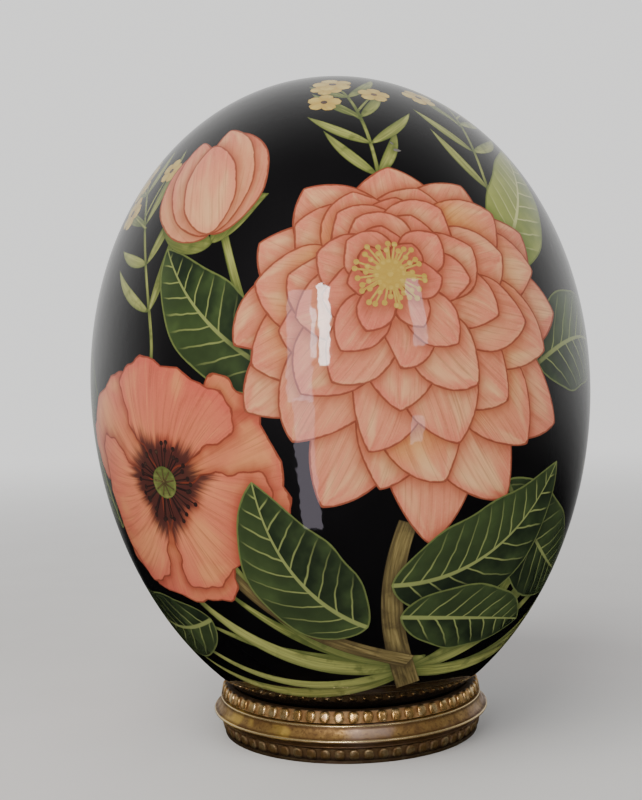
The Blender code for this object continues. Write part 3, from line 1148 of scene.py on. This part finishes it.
def leaf_paint(name, deep, body, light, vein, edge_colour):
    """A broad leaf with a herringbone of veins."""
    paint = Paint(name)
    along, across, inset = paint.three("place")
    _, warmth, contact = paint.three("tone")
    sideways, length, _ = paint.three("span")
    out = paint.maths("ABSOLUTE", sideways)
    down = paint.maths("MULTIPLY", along, length)
    sway = paint.maths("MULTIPLY", paint.noise(paint.where(), 160.0), 2.2)
    reach = paint.maths("ADD", paint.maths("SUBTRACT", down, paint.maths("MULTIPLY", out, 0.85)), sway)
    other_half = paint.maths("GREATER_THAN", sideways, 0.0)
    reach = paint.maths("ADD", reach, paint.maths("MULTIPLY", other_half, HALF_OFFSET))
    turn = paint.maths("DIVIDE", reach, VEIN_SPACING)
    fold = paint.maths("FRACT", turn)
    beside = paint.maths("PINGPONG", turn, 0.5)
    cloud = paint.noise(paint.where(), 110.0, 3.0, 0.6)
    colour = paint.ramp(cloud, (0.3, deep), (0.55, body), (0.8, light))
    colour = paint.mix(paint.ease(fold, 0.1, 0.95, 0.0, 0.55), colour, deep)
    half = paint.ease(across, -0.05, 0.05, 0.0, 0.28)
    colour = paint.mix(half, colour, light)
    colour = paint.mix(paint.maths("MULTIPLY", warmth, 0.5), colour, light)
    side_vein = paint.ease(beside, 0.075, 0.02)
    fade = paint.maths("MULTIPLY", paint.ease(inset, 0.3, 2.4), paint.ease(out, 9.0, 0.5, 0.35, 0.9))
    colour = paint.mix(paint.maths("MULTIPLY", side_vein, fade), colour, vein)
    rib_width = paint.ease(along, 0.0, 1.0, 0.62, 0.2)
    rib = paint.ease(paint.maths("DIVIDE", out, rib_width), 1.1, 0.6)
    colour = paint.mix(paint.maths("MULTIPLY", rib, 0.9), colour, vein)
    colour = paint.mix(paint.maths("MULTIPLY", contact, 0.75), colour, deep)
    wander = paint.maths("MULTIPLY", paint.noise(paint.where(), 500.0), 0.4)
    line = paint.ease(paint.maths("SUBTRACT", inset, wander), 0.3, 0.05, 0.0, 0.7)
    colour = paint.mix(line, colour, edge_colour)
    return paint.varnish(colour)


def blade_paint(name, dark, body, light):
    """Grass, stems and narrow leaves: streaks along the length and a darker edge."""
    paint = Paint(name)
    along, across, inset = paint.three("place")
    seed, warmth, contact = paint.three("tone")
    sideways, length, _ = paint.three("span")
    down = paint.maths("MULTIPLY", along, length)
    streak = paint.noise(paint.join(paint.maths("MULTIPLY", sideways, 1.8),
                                    paint.maths("MULTIPLY", down, 0.09), seed), 1.0, 3.0, 0.6)
    colour = paint.ramp(streak, (0.3, dark), (0.52, body), (0.72, light))
    colour = paint.mix(paint.maths("MULTIPLY", warmth, 0.6), colour, light)
    blotch = paint.noise(paint.where(), 240.0, 3.0, 0.6)
    colour = paint.mix(paint.ease(blotch, 0.52, 0.7, 0.0, 0.6), colour, dark)
    colour = paint.mix(paint.ease(across, 0.2, 0.9, 0.0, 0.45), colour, dark)
    colour = paint.mix(paint.maths("MULTIPLY", contact, 0.8), colour, dark)
    line = paint.ease(inset, 0.24, 0.04, 0.0, 0.7)
    colour = paint.mix(line, colour, dark)
    return paint.varnish(colour)


leaf = leaf_paint("veined_leaf", ink(24, 36, 22), ink(50, 68, 36), ink(84, 104, 54),
                  ink(150, 160, 92), ink(120, 132, 70))
fresh = leaf_paint("fresh_leaf", ink(92, 112, 40), ink(140, 152, 66), ink(184, 188, 98),
                   ink(212, 212, 140), ink(96, 108, 48))
lime = blade_paint("lime_blade", ink(74, 88, 38), ink(146, 152, 74), ink(190, 192, 112))
stem = blade_paint("olive_stem", ink(70, 58, 34), ink(128, 112, 66), ink(176, 158, 98))
pollen = blade_paint("pollen_yellow", ink(192, 156, 66), ink(216, 188, 90), ink(236, 216, 130))
thread = blade_paint("dark_thread", ink(34, 24, 26), ink(66, 44, 40), ink(122, 88, 62))
chip = blade_paint("varnish_chip", ink(96, 92, 90), ink(156, 150, 144), ink(192, 188, 182))
print("leaves mixed")

# %% Fold the egg
PAINT_MATERIALS = (ground, petal, coral, thread, leaf, fresh, lime, stem, pollen, chip)


def egg_tree():
    """The tree that folds a flat pattern into an egg."""
    number = "NodeSocketFloat"
    tree = new_tree("egg_form", {
        "Half Width": number, "Half Height": number, "Fullness": number,
        "Centre Above Focus": number, "Lean": number, "Stand X": number, "Focus Height": number,
    })
    build = Wiring(tree)
    given = build.add("NodeGroupInput").outputs
    position = build.add("GeometryNodeInputPosition").outputs[0]
    flat = build.add("ShaderNodeSeparateXYZ", {"Vector": position}).outputs
    squares = build.maths("ADD", build.maths("POWER", flat[0], 2.0), build.maths("POWER", flat[1], 2.0))
    drop = build.maths("SQRT", squares)
    turn = build.maths("ARCTAN2", flat[0], build.maths("MULTIPLY", flat[1], -1.0))
    fuller = build.maths("MULTIPLY", given["Fullness"], build.maths("COSINE", drop))
    wide = build.maths("MULTIPLY", given["Half Width"], build.maths("SINE", drop))
    radius = build.maths("MULTIPLY", wide, build.maths("ADD", 1.0, fuller))
    height = build.maths("MULTIPLY", given["Half Height"], build.maths("COSINE", drop))
    upright = build.add("ShaderNodeCombineXYZ", {
        "X": build.maths("MULTIPLY", radius, build.maths("SINE", turn)),
        "Y": build.maths("MULTIPLY", build.maths("MULTIPLY", radius, build.maths("COSINE", turn)), -1.0),
        "Z": build.maths("ADD", height, given["Centre Above Focus"]),
    }).outputs[0]
    leaning = build.add("ShaderNodeVectorRotate", {
        "Vector": upright, "Angle": build.maths("MULTIPLY", given["Lean"], -1.0),
    }, rotation_type="Y_AXIS").outputs[0]
    seat = build.add("ShaderNodeCombineXYZ", {"X": given["Stand X"], "Z": given["Focus Height"]}).outputs[0]
    placed = build.add("ShaderNodeVectorMath", operation="ADD")
    build.plug(placed.inputs[0], leaning)
    build.plug(placed.inputs[1], seat)
    folded = build.add("GeometryNodeSetPosition", {
        "Geometry": given["Geometry"], "Position": placed.outputs[0],
    })
    real = build.add("GeometryNodeRealizeInstances", {"Geometry": folded.outputs[0]}).outputs[0]
    paint = build.add("GeometryNodeInputNamedAttribute", {"Name": "paint"}, data_type="INT")
    for index, material in enumerate(PAINT_MATERIALS):
        chosen = build.add("FunctionNodeCompare", data_type="INT", operation="EQUAL")
        build.plug(chosen.inputs[2], paint.outputs[0])
        build.plug(chosen.inputs[3], index)
        real = build.add("GeometryNodeSetMaterial", {
            "Geometry": real, "Selection": chosen.outputs[0], "Material": material,
        }).outputs[0]
    build.add("NodeGroupOutput", {"Geometry": real})
    return tree


def shell_normals(drop, turn):
    """The exact direction square to the shell at each point."""
    radius_rate, height_rate = shell_rates(drop)
    side = -height_rate
    normals = np.stack([side * np.sin(turn), -side * np.cos(turn), radius_rate], -1)
    normals /= np.linalg.norm(normals, axis=1)[:, None]
    tilt = np.array(Matrix.Rotation(-LEAN, 3, "Y"))
    return normals @ tilt.T


pattern.materials.append(ground)
egg = run_tree("painted_egg", pattern, egg_tree(), {
    "Half Width": HALF_WIDTH, "Half Height": HALF_HEIGHT, "Fullness": FULLNESS,
    "Centre Above Focus": CENTRE_HEIGHT - LEAN_HEIGHT, "Lean": LEAN,
    "Stand X": STAND_X, "Focus Height": LEAN_HEIGHT,
})
egg.data.shade_smooth()
egg.data.normals_split_custom_set_from_vertices(shell_normals(point_drops, point_turns).tolist())
print("egg:", len(egg.data.polygons), "faces,", len(egg.data.materials), "paints")
print("egg box in mm:", [[round(1e3 * x, 2) for x in corner] for corner in (
    np.min([v.co for v in egg.data.vertices], 0), np.max([v.co for v in egg.data.vertices], 0))])

# %% [markdown]
# ## The ring stand
#
# The stand is stamped and gilded brass: a collar with a thin flange round it, and a strip of
# pearl beading above and below. The flange sits a little under the collar's middle. The collar
# and the walls of the strips are round, so each is a profile turned by a Screw modifier. Arcs
# in the profile give the soft edges that catch the light.

# %% Turned rings
PIECE_GAP = 0.0003
RING_BORE = SEAT_RADIUS + PIECE_GAP * math.hypot(1.0, SEAT_FLARE)
RING_COLUMNS = 180
UPPER_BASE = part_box("upper_beading")[0].z
BEADS_HIGH = STAND_TOP - UPPER_BASE


def arc(centre_radius, centre_height, size, start, end, count=5):
    """Points on an arc of a profile. Angles are in degrees, 0 outwards and 90 up."""
    angles = np.radians(np.linspace(start, end, count))
    return [(centre_radius + size * math.cos(a), centre_height + size * math.sin(a)) for a in angles]


def turned(name, profile):
    """A ring turned from a closed profile of (radius, height) points."""
    mesh = bpy.data.meshes.new(name)
    count = len(profile)
    sides = [(index, (index + 1) % count) for index in range(count)]
    mesh.from_pydata([(radius, 0.0, height) for radius, height in profile], sides, [])
    ring = bpy.data.objects.new(name, mesh)
    bpy.context.scene.collection.objects.link(ring)
    screw = ring.modifiers.new("turn", "SCREW")
    screw.steps = RING_COLUMNS
    screw.render_steps = RING_COLUMNS
    screw.use_merge_vertices = True
    screw.merge_threshold = 1e-6
    bpy.context.view_layer.update()
    made = bpy.data.meshes.new_from_object(ring.evaluated_get(bpy.context.evaluated_depsgraph_get()))
    bpy.data.objects.remove(ring)
    form = bmesh.new()
    form.from_mesh(made)
    bmesh.ops.recalc_face_normals(form, faces=form.faces)
    for vertex in form.verts:
        vertex.co.x += STAND_X
    form.to_mesh(made)
    form.free()
    made.shade_smooth()
    made.set_sharp_from_angle(angle=math.radians(48.0))
    return made


# %% Collar
FLANGE_RADIUS = (ring_high.x - ring_low.x) / 2.0
FLANGE_HEIGHT = 0.0057  # from the table to the middle of its thickness
FLANGE_HALF = 0.00035
MOULDING_RADIUS = 0.0323  # the small round moulding at each rim of the collar
MOULDING_HEIGHT = 0.0005
COVE_NECK = 0.0321  # the hollow band between a moulding and the flange
COVE_FOOT = 0.0332
COVE_CURVE = 1.7
COVE_POINTS = 9


def collar_side(depth):
    """One side of the collar, from a rim to the flange, as (radius, distance from the rim)."""
    half = MOULDING_HEIGHT / 2.0
    face = depth - FLANGE_HALF
    side = [(radius, -rise) for radius, rise in arc(MOULDING_RADIUS - half, -half, half, 90.0, -60.0, 8)]
    for share in np.linspace(0.0, 1.0, COVE_POINTS):
        radius = COVE_NECK + (COVE_FOOT - COVE_NECK) * share ** COVE_CURVE
        side.append((radius, MOULDING_HEIGHT + (face - MOULDING_HEIGHT) * share))
    lip = arc(FLANGE_RADIUS - FLANGE_HALF, 0.0, FLANGE_HALF, 90.0, 10.0, 6)
    return side + [(radius, depth - rise) for radius, rise in lip]


def collar_profile():
    """The collar's section: down its outer side, and up the bore."""
    upper = [(radius, ring_high.z - fall) for radius, fall in collar_side(ring_high.z - FLANGE_HEIGHT)]
    lower = [(radius, ring_low.z + fall) for radius, fall in collar_side(FLANGE_HEIGHT - ring_low.z)]
    return upper + lower[::-1] + [(RING_BORE, ring_low.z), (RING_BORE, ring_high.z)]


collar_mesh = turned("collar", collar_profile())
print("collar:", len(collar_mesh.polygons), "faces")

# %% [markdown]
# ## The beads
#
# Sixty upright pearls stand round each strip. They repeat, so Geometry Nodes make them: a
# circle of points, a pearl on each, turned to face outwards. The pearls are pressed up from the
# back of the sheet, so their faces are a little hollow, and each one shows two glints. Both
# strips draw in towards their far rim, and the lower one stands on a plain foot.

# %% Beading tree
BEAD_COUNT = 60
STRIP_RADIUS = 0.0316  # the wall between the pearls, next to the collar
STRIP_TAPER = 0.0007  # how much it draws in towards the far rim
FOOT_RADIUS = 0.0314
RIM_SOFTNESS = 0.0002
PEARL_WIDTH = 0.0025
PEARL_DEPTH = 0.00082
PEARL_SIDES = 16
PEARL_ROWS = 9
PEARL_SQUARENESS = 0.82  # 1 is an oval, and less is more like a rounded brick
PEARL_DENT = 0.30
DENT_WIDTH = 7.0  # the larger, the narrower


def strip_profile(near, far, foot=None):
    """The wall that the pearls stand on, from its height near the collar to its far rim."""
    away = math.copysign(1.0, far - near)
    rim = arc(STRIP_RADIUS - STRIP_TAPER - RIM_SOFTNESS, -RIM_SOFTNESS, RIM_SOFTNESS, 0.0, 90.0, 4)
    points = [(RING_BORE, near), (STRIP_RADIUS, near)]
    if foot is None:
        points += [(radius, far + away * rise) for radius, rise in rim]
        return points + [(RING_BORE, far)]
    points += [(STRIP_RADIUS - STRIP_TAPER, far), (FOOT_RADIUS, far)]
    return points + [(FOOT_RADIUS, foot), (RING_BORE, foot)]


def beading_tree(brass):
    """The tree that stands pearls round a strip."""
    number = "NodeSocketFloat"
    tree = new_tree("pearl_beading", {
        "Pearls": "NodeSocketInt", "Strip Radius": number, "Taper": number, "Pearl Width": number,
        "Pearl Depth": number, "Pearl Height": number, "Stand X": number, "Middle Height": number,
    })
    build = Wiring(tree)
    given = build.add("NodeGroupInput").outputs
    ring = build.add("GeometryNodeMeshCircle", {"Vertices": given["Pearls"], "Radius": given["Strip Radius"]})
    ball = build.add("GeometryNodeMeshUVSphere", {
        "Segments": PEARL_SIDES, "Rings": PEARL_ROWS, "Radius": 1.0,
    })
    here = build.add("GeometryNodeInputPosition").outputs[0]
    part = build.add("ShaderNodeSeparateXYZ", {"Vector": here}).outputs
    off = build.maths("ADD", build.maths("POWER", part[1], 2.0),
                      build.maths("MULTIPLY", build.maths("POWER", part[2], 2.0), 0.5))
    hollow = build.maths("EXPONENT", build.maths("MULTIPLY", off, -DENT_WIDTH))
    dent = build.maths("MULTIPLY", hollow, PEARL_DENT)

    def squared(value):
        full = build.maths("POWER", build.maths("ABSOLUTE", value), PEARL_SQUARENESS)
        return build.maths("MULTIPLY", full, build.maths("SIGN", value))

    swelling = build.maths("MULTIPLY", build.maths("MULTIPLY", given["Pearl Depth"], squared(part[0])),
                           build.maths("SUBTRACT", 1.0, dent))
    drawn_in = build.maths("MULTIPLY", build.maths("MULTIPLY", given["Taper"], 0.5), part[2])
    shaped = build.add("ShaderNodeCombineXYZ", {
        "X": build.maths("SUBTRACT", swelling, drawn_in),
        "Y": build.maths("MULTIPLY", build.maths("MULTIPLY", given["Pearl Width"], 0.5), squared(part[1])),
        "Z": build.maths("MULTIPLY", build.maths("MULTIPLY", given["Pearl Height"], 0.5), squared(part[2])),
    }).outputs[0]
    pearl = build.add("GeometryNodeSetPosition", {"Geometry": ball.outputs[0], "Position": shaped})
    spot = build.add("ShaderNodeSeparateXYZ", {"Vector": here}).outputs
    angle = build.maths("ARCTAN2", spot[1], spot[0])
    facing = build.add("ShaderNodeCombineXYZ", {"Z": angle}).outputs[0]
    pearls = build.add("GeometryNodeInstanceOnPoints", {
        "Points": ring.outputs[0], "Instance": pearl.outputs[0], "Rotation": facing,
    }).outputs[0]
    centre = build.add("ShaderNodeCombineXYZ", {"X": given["Stand X"], "Z": given["Middle Height"]})
    moved = build.add("GeometryNodeTransform", {
        "Geometry": pearls, "Translation": centre.outputs[0],
    }).outputs[0]
    real = build.add("GeometryNodeRealizeInstances", {"Geometry": moved}).outputs[0]
    smooth = build.add("GeometryNodeSetShadeSmooth", {"Geometry": real}).outputs[0]
    both = build.add("GeometryNodeJoinGeometry")
    tree.links.new(smooth, both.inputs[0])
    tree.links.new(given["Geometry"], both.inputs[0])
    finished = build.add("GeometryNodeSetMaterial", {"Geometry": both.outputs[0], "Material": brass})
    build.add("NodeGroupOutput", {"Geometry": finished.outputs[0]})
    return tree


# %% [markdown]
# ## Old gilding
# Gilding wears where it is touched and keeps its dirt where it isn't. The crowns of the pearls are
# pale and bright, and the ground between them is brown. How far a point stands out from the
# strip decides which it is, so the material measures that from the stand's axis. The collar's
# band is mottled. Its flange lip and top moulding are rubbed, and a painted highlight makes them
# brighter still. Painted shade darkens the groove under the moulding, the corner above the flange
# and the strip's top under the egg. Under the flange the real brass looks almost black, in the
# shade of the flange and of a dark table. Our floor is pale, so that shade is painted in, darkest
# at the foot, where it also stands for a little dirt.

# %% Brass
GILT_CROWN = ink(244, 216, 160)
GILT_BODY = ink(196, 154, 90)
# dirt colour of the gilding, also used for painted shade in the collar's creases
GILT_DIRT_AND_SHADE = ink(92, 62, 32)
GILT_GAP = ink(142, 104, 58)
COLLAR_BODY = ink(138, 104, 52)
COLLAR_CROWN = ink(186, 152, 94)
# rubbed gilding, painted bright as a highlight
GILT_RUBBED_HIGHLIGHT = ink(236, 210, 156)
# painted shade: the dark brown of the shade under the flange, at the foot and on the strip's top
PAINTED_SHADE_BROWN = ink(38, 26, 16)
PINK_BRASS = ink(206, 184, 178)
YELLOW_BRASS = ink(232, 194, 92)


def stand_reach(paint):
    """Distance from the stand's axis, and height."""
    place = paint.add("ShaderNodeSeparateXYZ", {"Vector": paint.where()}).outputs
    x = paint.maths("SUBTRACT", place[0], STAND_X)
    squares = paint.maths("ADD", paint.maths("POWER", x, 2.0), paint.maths("POWER", place[1], 2.0))
    return paint.maths("SQRT", squares), place[2]


SHADE_UNDER_FLANGE = 0.58  # how strongly painted shade darkens the brass under the flange
SHADE_AT_FOOT = 0.9


def painted_low_shade(paint, colour, height):
    """Painted shade: darker from the flange down, and darkest at the foot, with a little dirt there."""
    under = paint.ease(height, FLANGE_HEIGHT - 0.1 * MM, FLANGE_HEIGHT - 0.9 * MM, 0.0, SHADE_UNDER_FLANGE)
    foot_shade = paint.ease(height, 3.0 * MM, 0.8 * MM, 0.0, SHADE_AT_FOOT)
    return paint.mix(paint.maths("MAXIMUM", under, foot_shade), colour, PAINTED_SHADE_BROWN)


def finish_brass(paint, colour, shine):
    """Metal with fine pits. Where it is dirty it is rougher, and less of it is bare metal."""
    pits = paint.noise(paint.where(), 1500.0, 3.0, 0.6)
    paint.plug(paint.shader.inputs["Base Color"], colour)
    paint.plug(paint.shader.inputs["Roughness"], paint.ease(shine, 0.0, 1.0, 0.62, 0.27))
    paint.plug(paint.shader.inputs["Metallic"], paint.ease(shine, 0.0, 1.0, 0.35, 0.8))
    paint.plug(paint.shader.inputs["Normal"], paint.bump(pits, 0.00003))
    return paint.material


def pearl_brass():
    """Gilding on the beaded strips."""
    paint = Paint("gilt_pearls")
    reach, height = stand_reach(paint)
    mottle = paint.noise(paint.where(), 420.0, 3.0, 0.6)
    from_middle = paint.maths("ABSOLUTE", paint.maths("SUBTRACT", height, FLANGE_HEIGHT))
    to_rim = paint.maths("SUBTRACT", from_middle, UPPER_BASE - FLANGE_HEIGHT)
    wall = paint.maths("MULTIPLY", to_rim, -STRIP_TAPER / BEADS_HIGH)
    standing = paint.maths("SUBTRACT", paint.maths("SUBTRACT", reach, wall), STRIP_RADIUS)
    ragged = paint.maths("ADD", standing, paint.maths("MULTIPLY", mottle, 0.3 * MM))
    worn = paint.ease(ragged, 0.1 * MM, 0.7 * MM)
    colour = paint.mix(worn, GILT_GAP, GILT_BODY)
    colour = paint.mix(paint.ease(mottle, 0.45, 0.65, 0.0, 0.8), colour, GILT_CROWN)
    colour = paint.mix(paint.ease(worn, 0.5, 0.0, 0.0, 0.8), colour, GILT_GAP)
    # Painted shade: the strip's top, where the egg sits on it, turns to the painted shade brown.
    top = paint.ease(height, STAND_TOP - 0.4 * MM, STAND_TOP - 0.05 * MM, 0.0, 0.85)
    colour = paint.mix(top, painted_low_shade(paint, colour, height), PAINTED_SHADE_BROWN)
    return finish_brass(paint, colour, worn)


def collar_brass():
    """Gilding on the collar: mottled, with its rubbed edges painted bright as a highlight, and painted shade
    in its creases and under its flange.
    """
    paint = Paint("worn_collar_brass")
    reach, height = stand_reach(paint)
    cloud = paint.noise(paint.where(), 230.0, 4.0, 0.7)
    speck = paint.noise(paint.where(), 1400.0, 3.0, 0.7)
    colour = paint.ramp(cloud, (0.32, GILT_DIRT_AND_SHADE), (0.5, COLLAR_BODY), (0.72, COLLAR_CROWN))
    colour = paint.mix(paint.ease(speck, 0.5, 0.66, 0.0, 0.7), colour, GILT_DIRT_AND_SHADE)
    patch = paint.noise(paint.where(), 95.0, 2.0)
    colour = paint.mix(paint.ease(patch, 0.56, 0.7, 0.0, 0.35), colour, PINK_BRASS)
    colour = paint.mix(paint.ease(patch, 0.44, 0.34, 0.0, 0.55), colour, YELLOW_BRASS)
    colour = painted_low_shade(paint, colour, height)
    # Painted highlight: the flange lip and the top moulding are rubbed, and are painted brighter still, as
    # the bright lines that they catch.
    lip = paint.maths("MULTIPLY", paint.ease(reach, FLANGE_RADIUS - 0.3 * MM, FLANGE_RADIUS - 0.1 * MM),
                      paint.ease(height, FLANGE_HEIGHT - 0.1 * MM, FLANGE_HEIGHT + 0.1 * MM))
    collar_top = ring_high.z
    rim = paint.maths("MULTIPLY", paint.ease(height, collar_top - MOULDING_HEIGHT, collar_top - 0.4 * MM),
                      paint.ease(reach, COVE_NECK, MOULDING_RADIUS - 0.05 * MM))
    # Painted shade: a dark line in the groove under the top moulding and in the corner above the flange, in
    # the dirt colour.
    from_groove = paint.maths("SUBTRACT", height, collar_top - MOULDING_HEIGHT - 0.2 * MM)
    groove_shade = paint.ease(paint.maths("ABSOLUTE", from_groove), 0.4 * MM, 0.1 * MM, 0.0, 0.6)
    above_flange = paint.maths("SUBTRACT", height, FLANGE_HEIGHT + FLANGE_HALF)
    corner = paint.ease(above_flange, 0.5 * MM, 0.0, 0.0, 0.6)
    inside = paint.ease(reach, FLANGE_RADIUS - 0.2 * MM, COVE_FOOT)
    painted_crease_shade = paint.maths("MAXIMUM", groove_shade, paint.maths("MULTIPLY", corner, inside))
    colour = paint.mix(painted_crease_shade, colour, GILT_DIRT_AND_SHADE)
    rubbed_highlight = paint.maths("MAXIMUM", lip, rim)
    colour = paint.mix(rubbed_highlight, colour, GILT_RUBBED_HIGHLIGHT)
    shine = paint.maths("MAXIMUM", rubbed_highlight, paint.ease(cloud, 0.3, 0.65, 0.15, 0.65))
    return finish_brass(paint, colour, shine)


# %% Assemble the stand
gilt_pearls = pearl_brass()
beading = beading_tree(gilt_pearls)


def beaded_strip(name, near, far, foot=None):
    """One beaded strip, from its height near the collar to the far end of its pearls."""
    wall = turned(name + "_wall", strip_profile(near, far, foot))
    return run_tree(name, wall, beading, {
        "Pearls": BEAD_COUNT, "Strip Radius": STRIP_RADIUS - STRIP_TAPER / 2.0,
        "Taper": math.copysign(STRIP_TAPER, far - near), "Pearl Width": PEARL_WIDTH,
        "Pearl Depth": PEARL_DEPTH, "Pearl Height": BEADS_HIGH, "Stand X": STAND_X,
        "Middle Height": (near + far) / 2.0,
    })


lower_foot, lower_top = (corner.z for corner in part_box("lower_beading"))
upper_strip = beaded_strip("upper_pearls", UPPER_BASE, STAND_TOP)
lower_strip = beaded_strip("lower_pearls", lower_top, lower_top - BEADS_HIGH, lower_foot)
collar = bpy.data.objects.new("turned_collar", collar_mesh)
bpy.context.scene.collection.objects.link(collar)
collar_mesh.materials.append(collar_brass())
for piece in (upper_strip, lower_strip, collar):
    print(piece.name, len(piece.data.polygons), "faces")

# %% [markdown]
# ## Put the finished pieces in place
#
# The table pairs each finished piece with the plain piece that it covers and with the name of a
# material slot. Each finished piece rides on the plain model's one body, and its plain piece is hidden.

# %% Tie the pieces in
PIECES = (
    (egg, "ostrich_egg", "lacquered_shell"),
    (upper_strip, "upper_beading", "gilt_beading"),
    (lower_strip, "lower_beading", "gilt_beading"),
    (collar, "stand_collar", "worn_collar"),
)
for piece, plain, finish in PIECES:
    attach(piece, "root")
    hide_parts(plain)

# %% [markdown]
# ## The studio
#
# A glossy egg is a mirror for the whole room, so the room matters as much as the lamps. A tall
# bright window stands to the left of the camera. A wide dim panel beside it gives the soft
# lilac band, and the wall behind shines in the egg's rims.

# %% Floor and world
FLOOR_RADIUS = 1.2
FLOOR_FADE = 0.16  # the floor is solid as far as this, and then fades into the background
BACKGROUND = 1.21


def pale_floor():
    """A big round table top that melts into the background and doesn't show in reflections."""
    form = bmesh.new()
    bmesh.ops.create_circle(form, cap_ends=True, segments=96, radius=FLOOR_RADIUS)
    mesh = bpy.data.meshes.new("floor")
    form.to_mesh(mesh)
    form.free()
    floor = bpy.data.objects.new("floor", mesh)
    bpy.context.scene.collection.objects.link(floor)
    paint = Paint("pale_floor")
    mottle = paint.noise(paint.where(), 30.0, 2.0)
    pale = paint.ramp(mottle, (0.3, ink(231, 230, 229)), (0.7, ink(235, 234, 233)))
    paint.plug(paint.shader.inputs["Base Color"], pale)
    away = paint.add("ShaderNodeVectorMath", {"Vector": paint.where()}, operation="LENGTH").outputs["Value"]
    paint.plug(paint.shader.inputs["Alpha"], paint.ease(away, FLOOR_FADE, FLOOR_RADIUS * 0.8, 1.0, 0.0))
    paint.shader.inputs["Roughness"].default_value = 0.7
    mesh.materials.append(paint.material)
    floor.visible_glossy = False


def room():
    """The world: pale where the camera sees it, and dark on the camera's side in reflections."""
    world = bpy.data.worlds.new("room")
    world.use_nodes = True
    bpy.context.scene.world = world
    air = Wiring(world.node_tree)
    sky = world.node_tree.nodes["Background"]
    place = air.add("ShaderNodeTexCoord").outputs["Generated"]
    parts = air.add("ShaderNodeSeparateXYZ", {"Vector": place}).outputs
    behind = air.add("ShaderNodeMapRange", {
        "Value": parts[1], "From Min": -0.3, "From Max": 0.75, "To Min": 0.05, "To Max": 0.76,
    }, interpolation_type="SMOOTHSTEP").outputs[0]
    above = air.add("ShaderNodeMapRange", {
        "Value": parts[2], "From Min": -0.3, "From Max": 0.1, "To Min": 0.0, "To Max": 1.0,
    }, interpolation_type="SMOOTHSTEP").outputs[0]
    lit = air.maths("MULTIPLY", behind, above)
    seen = air.add("ShaderNodeLightPath").outputs["Is Camera Ray"]
    level = air.add("ShaderNodeMix", {"Factor": seen}, data_type="FLOAT")
    air.plug(level.inputs[2], lit)
    air.plug(level.inputs[3], BACKGROUND)
    air.plug(sky.inputs["Color"], (1.0, 0.995, 0.985, 1.0))
    air.plug(sky.inputs["Strength"], level.outputs[0])


pale_floor()
room()


# %% Lamps
def compass(azimuth, elevation, distance, target):
    """A place seen from the target, azimuth from the front towards the right."""
    turn = math.radians(azimuth)
    rise = math.radians(elevation)
    return target + distance * Vector((math.cos(rise) * math.sin(turn), -math.cos(rise) * math.cos(turn),
                                       math.sin(rise)))


def lamp(name, azimuth, elevation, distance, width, height, power, colour, glossy=True, diffuse=True):
    """A rectangular lamp that faces the egg."""
    target = Vector((0.0, 0.0, CENTRE_HEIGHT))
    data = bpy.data.lights.new(name, "AREA")
    data.shape = "RECTANGLE"
    data.size = width
    data.size_y = height
    data.energy = power
    data.color = colour
    shine = bpy.data.objects.new(name, data)
    bpy.context.scene.collection.objects.link(shine)
    spot = compass(azimuth, elevation, distance, target)
    shine.location = spot
    shine.rotation_euler = (target - spot).to_track_quat("-Z", "Y").to_euler()
    shine.visible_camera = False
    shine.visible_glossy = glossy
    shine.visible_diffuse = diffuse
    return shine


lamp("key", -35.0, 45.0, 1.4, 1.2, 1.2, 22.0, (1.0, 0.97, 0.93), glossy=False)
lamp("fill", 50.0, 25.0, 1.6, 1.4, 1.2, 10.0, (0.97, 0.98, 1.0), glossy=False)
lamp("window", -6.8, 17.5, 1.5, 0.13, 0.60, 8.0, (1.0, 0.96, 0.90), diffuse=False)
lamp("window_edge", -11.5, 15.5, 1.5, 0.05, 0.36, 0.7, (1.0, 0.95, 0.98), diffuse=False)
lamp("lilac_high", -17.5, 12.0, 1.5, 0.28, 0.84, 2.8, (0.96, 0.84, 1.0), diffuse=False)
lamp("lilac_low", -16.5, -20.0, 1.5, 0.22, 0.94, 1.7, (0.94, 0.84, 1.0), diffuse=False)
lamp("side_pane", 35.0, 20.0, 1.5, 0.17, 0.50, 1.2, (0.98, 0.92, 1.0), diffuse=False)
lamp("low_pane", 32.0, -11.0, 1.5, 0.14, 0.18, 0.25, (0.98, 0.92, 1.0), diffuse=False)
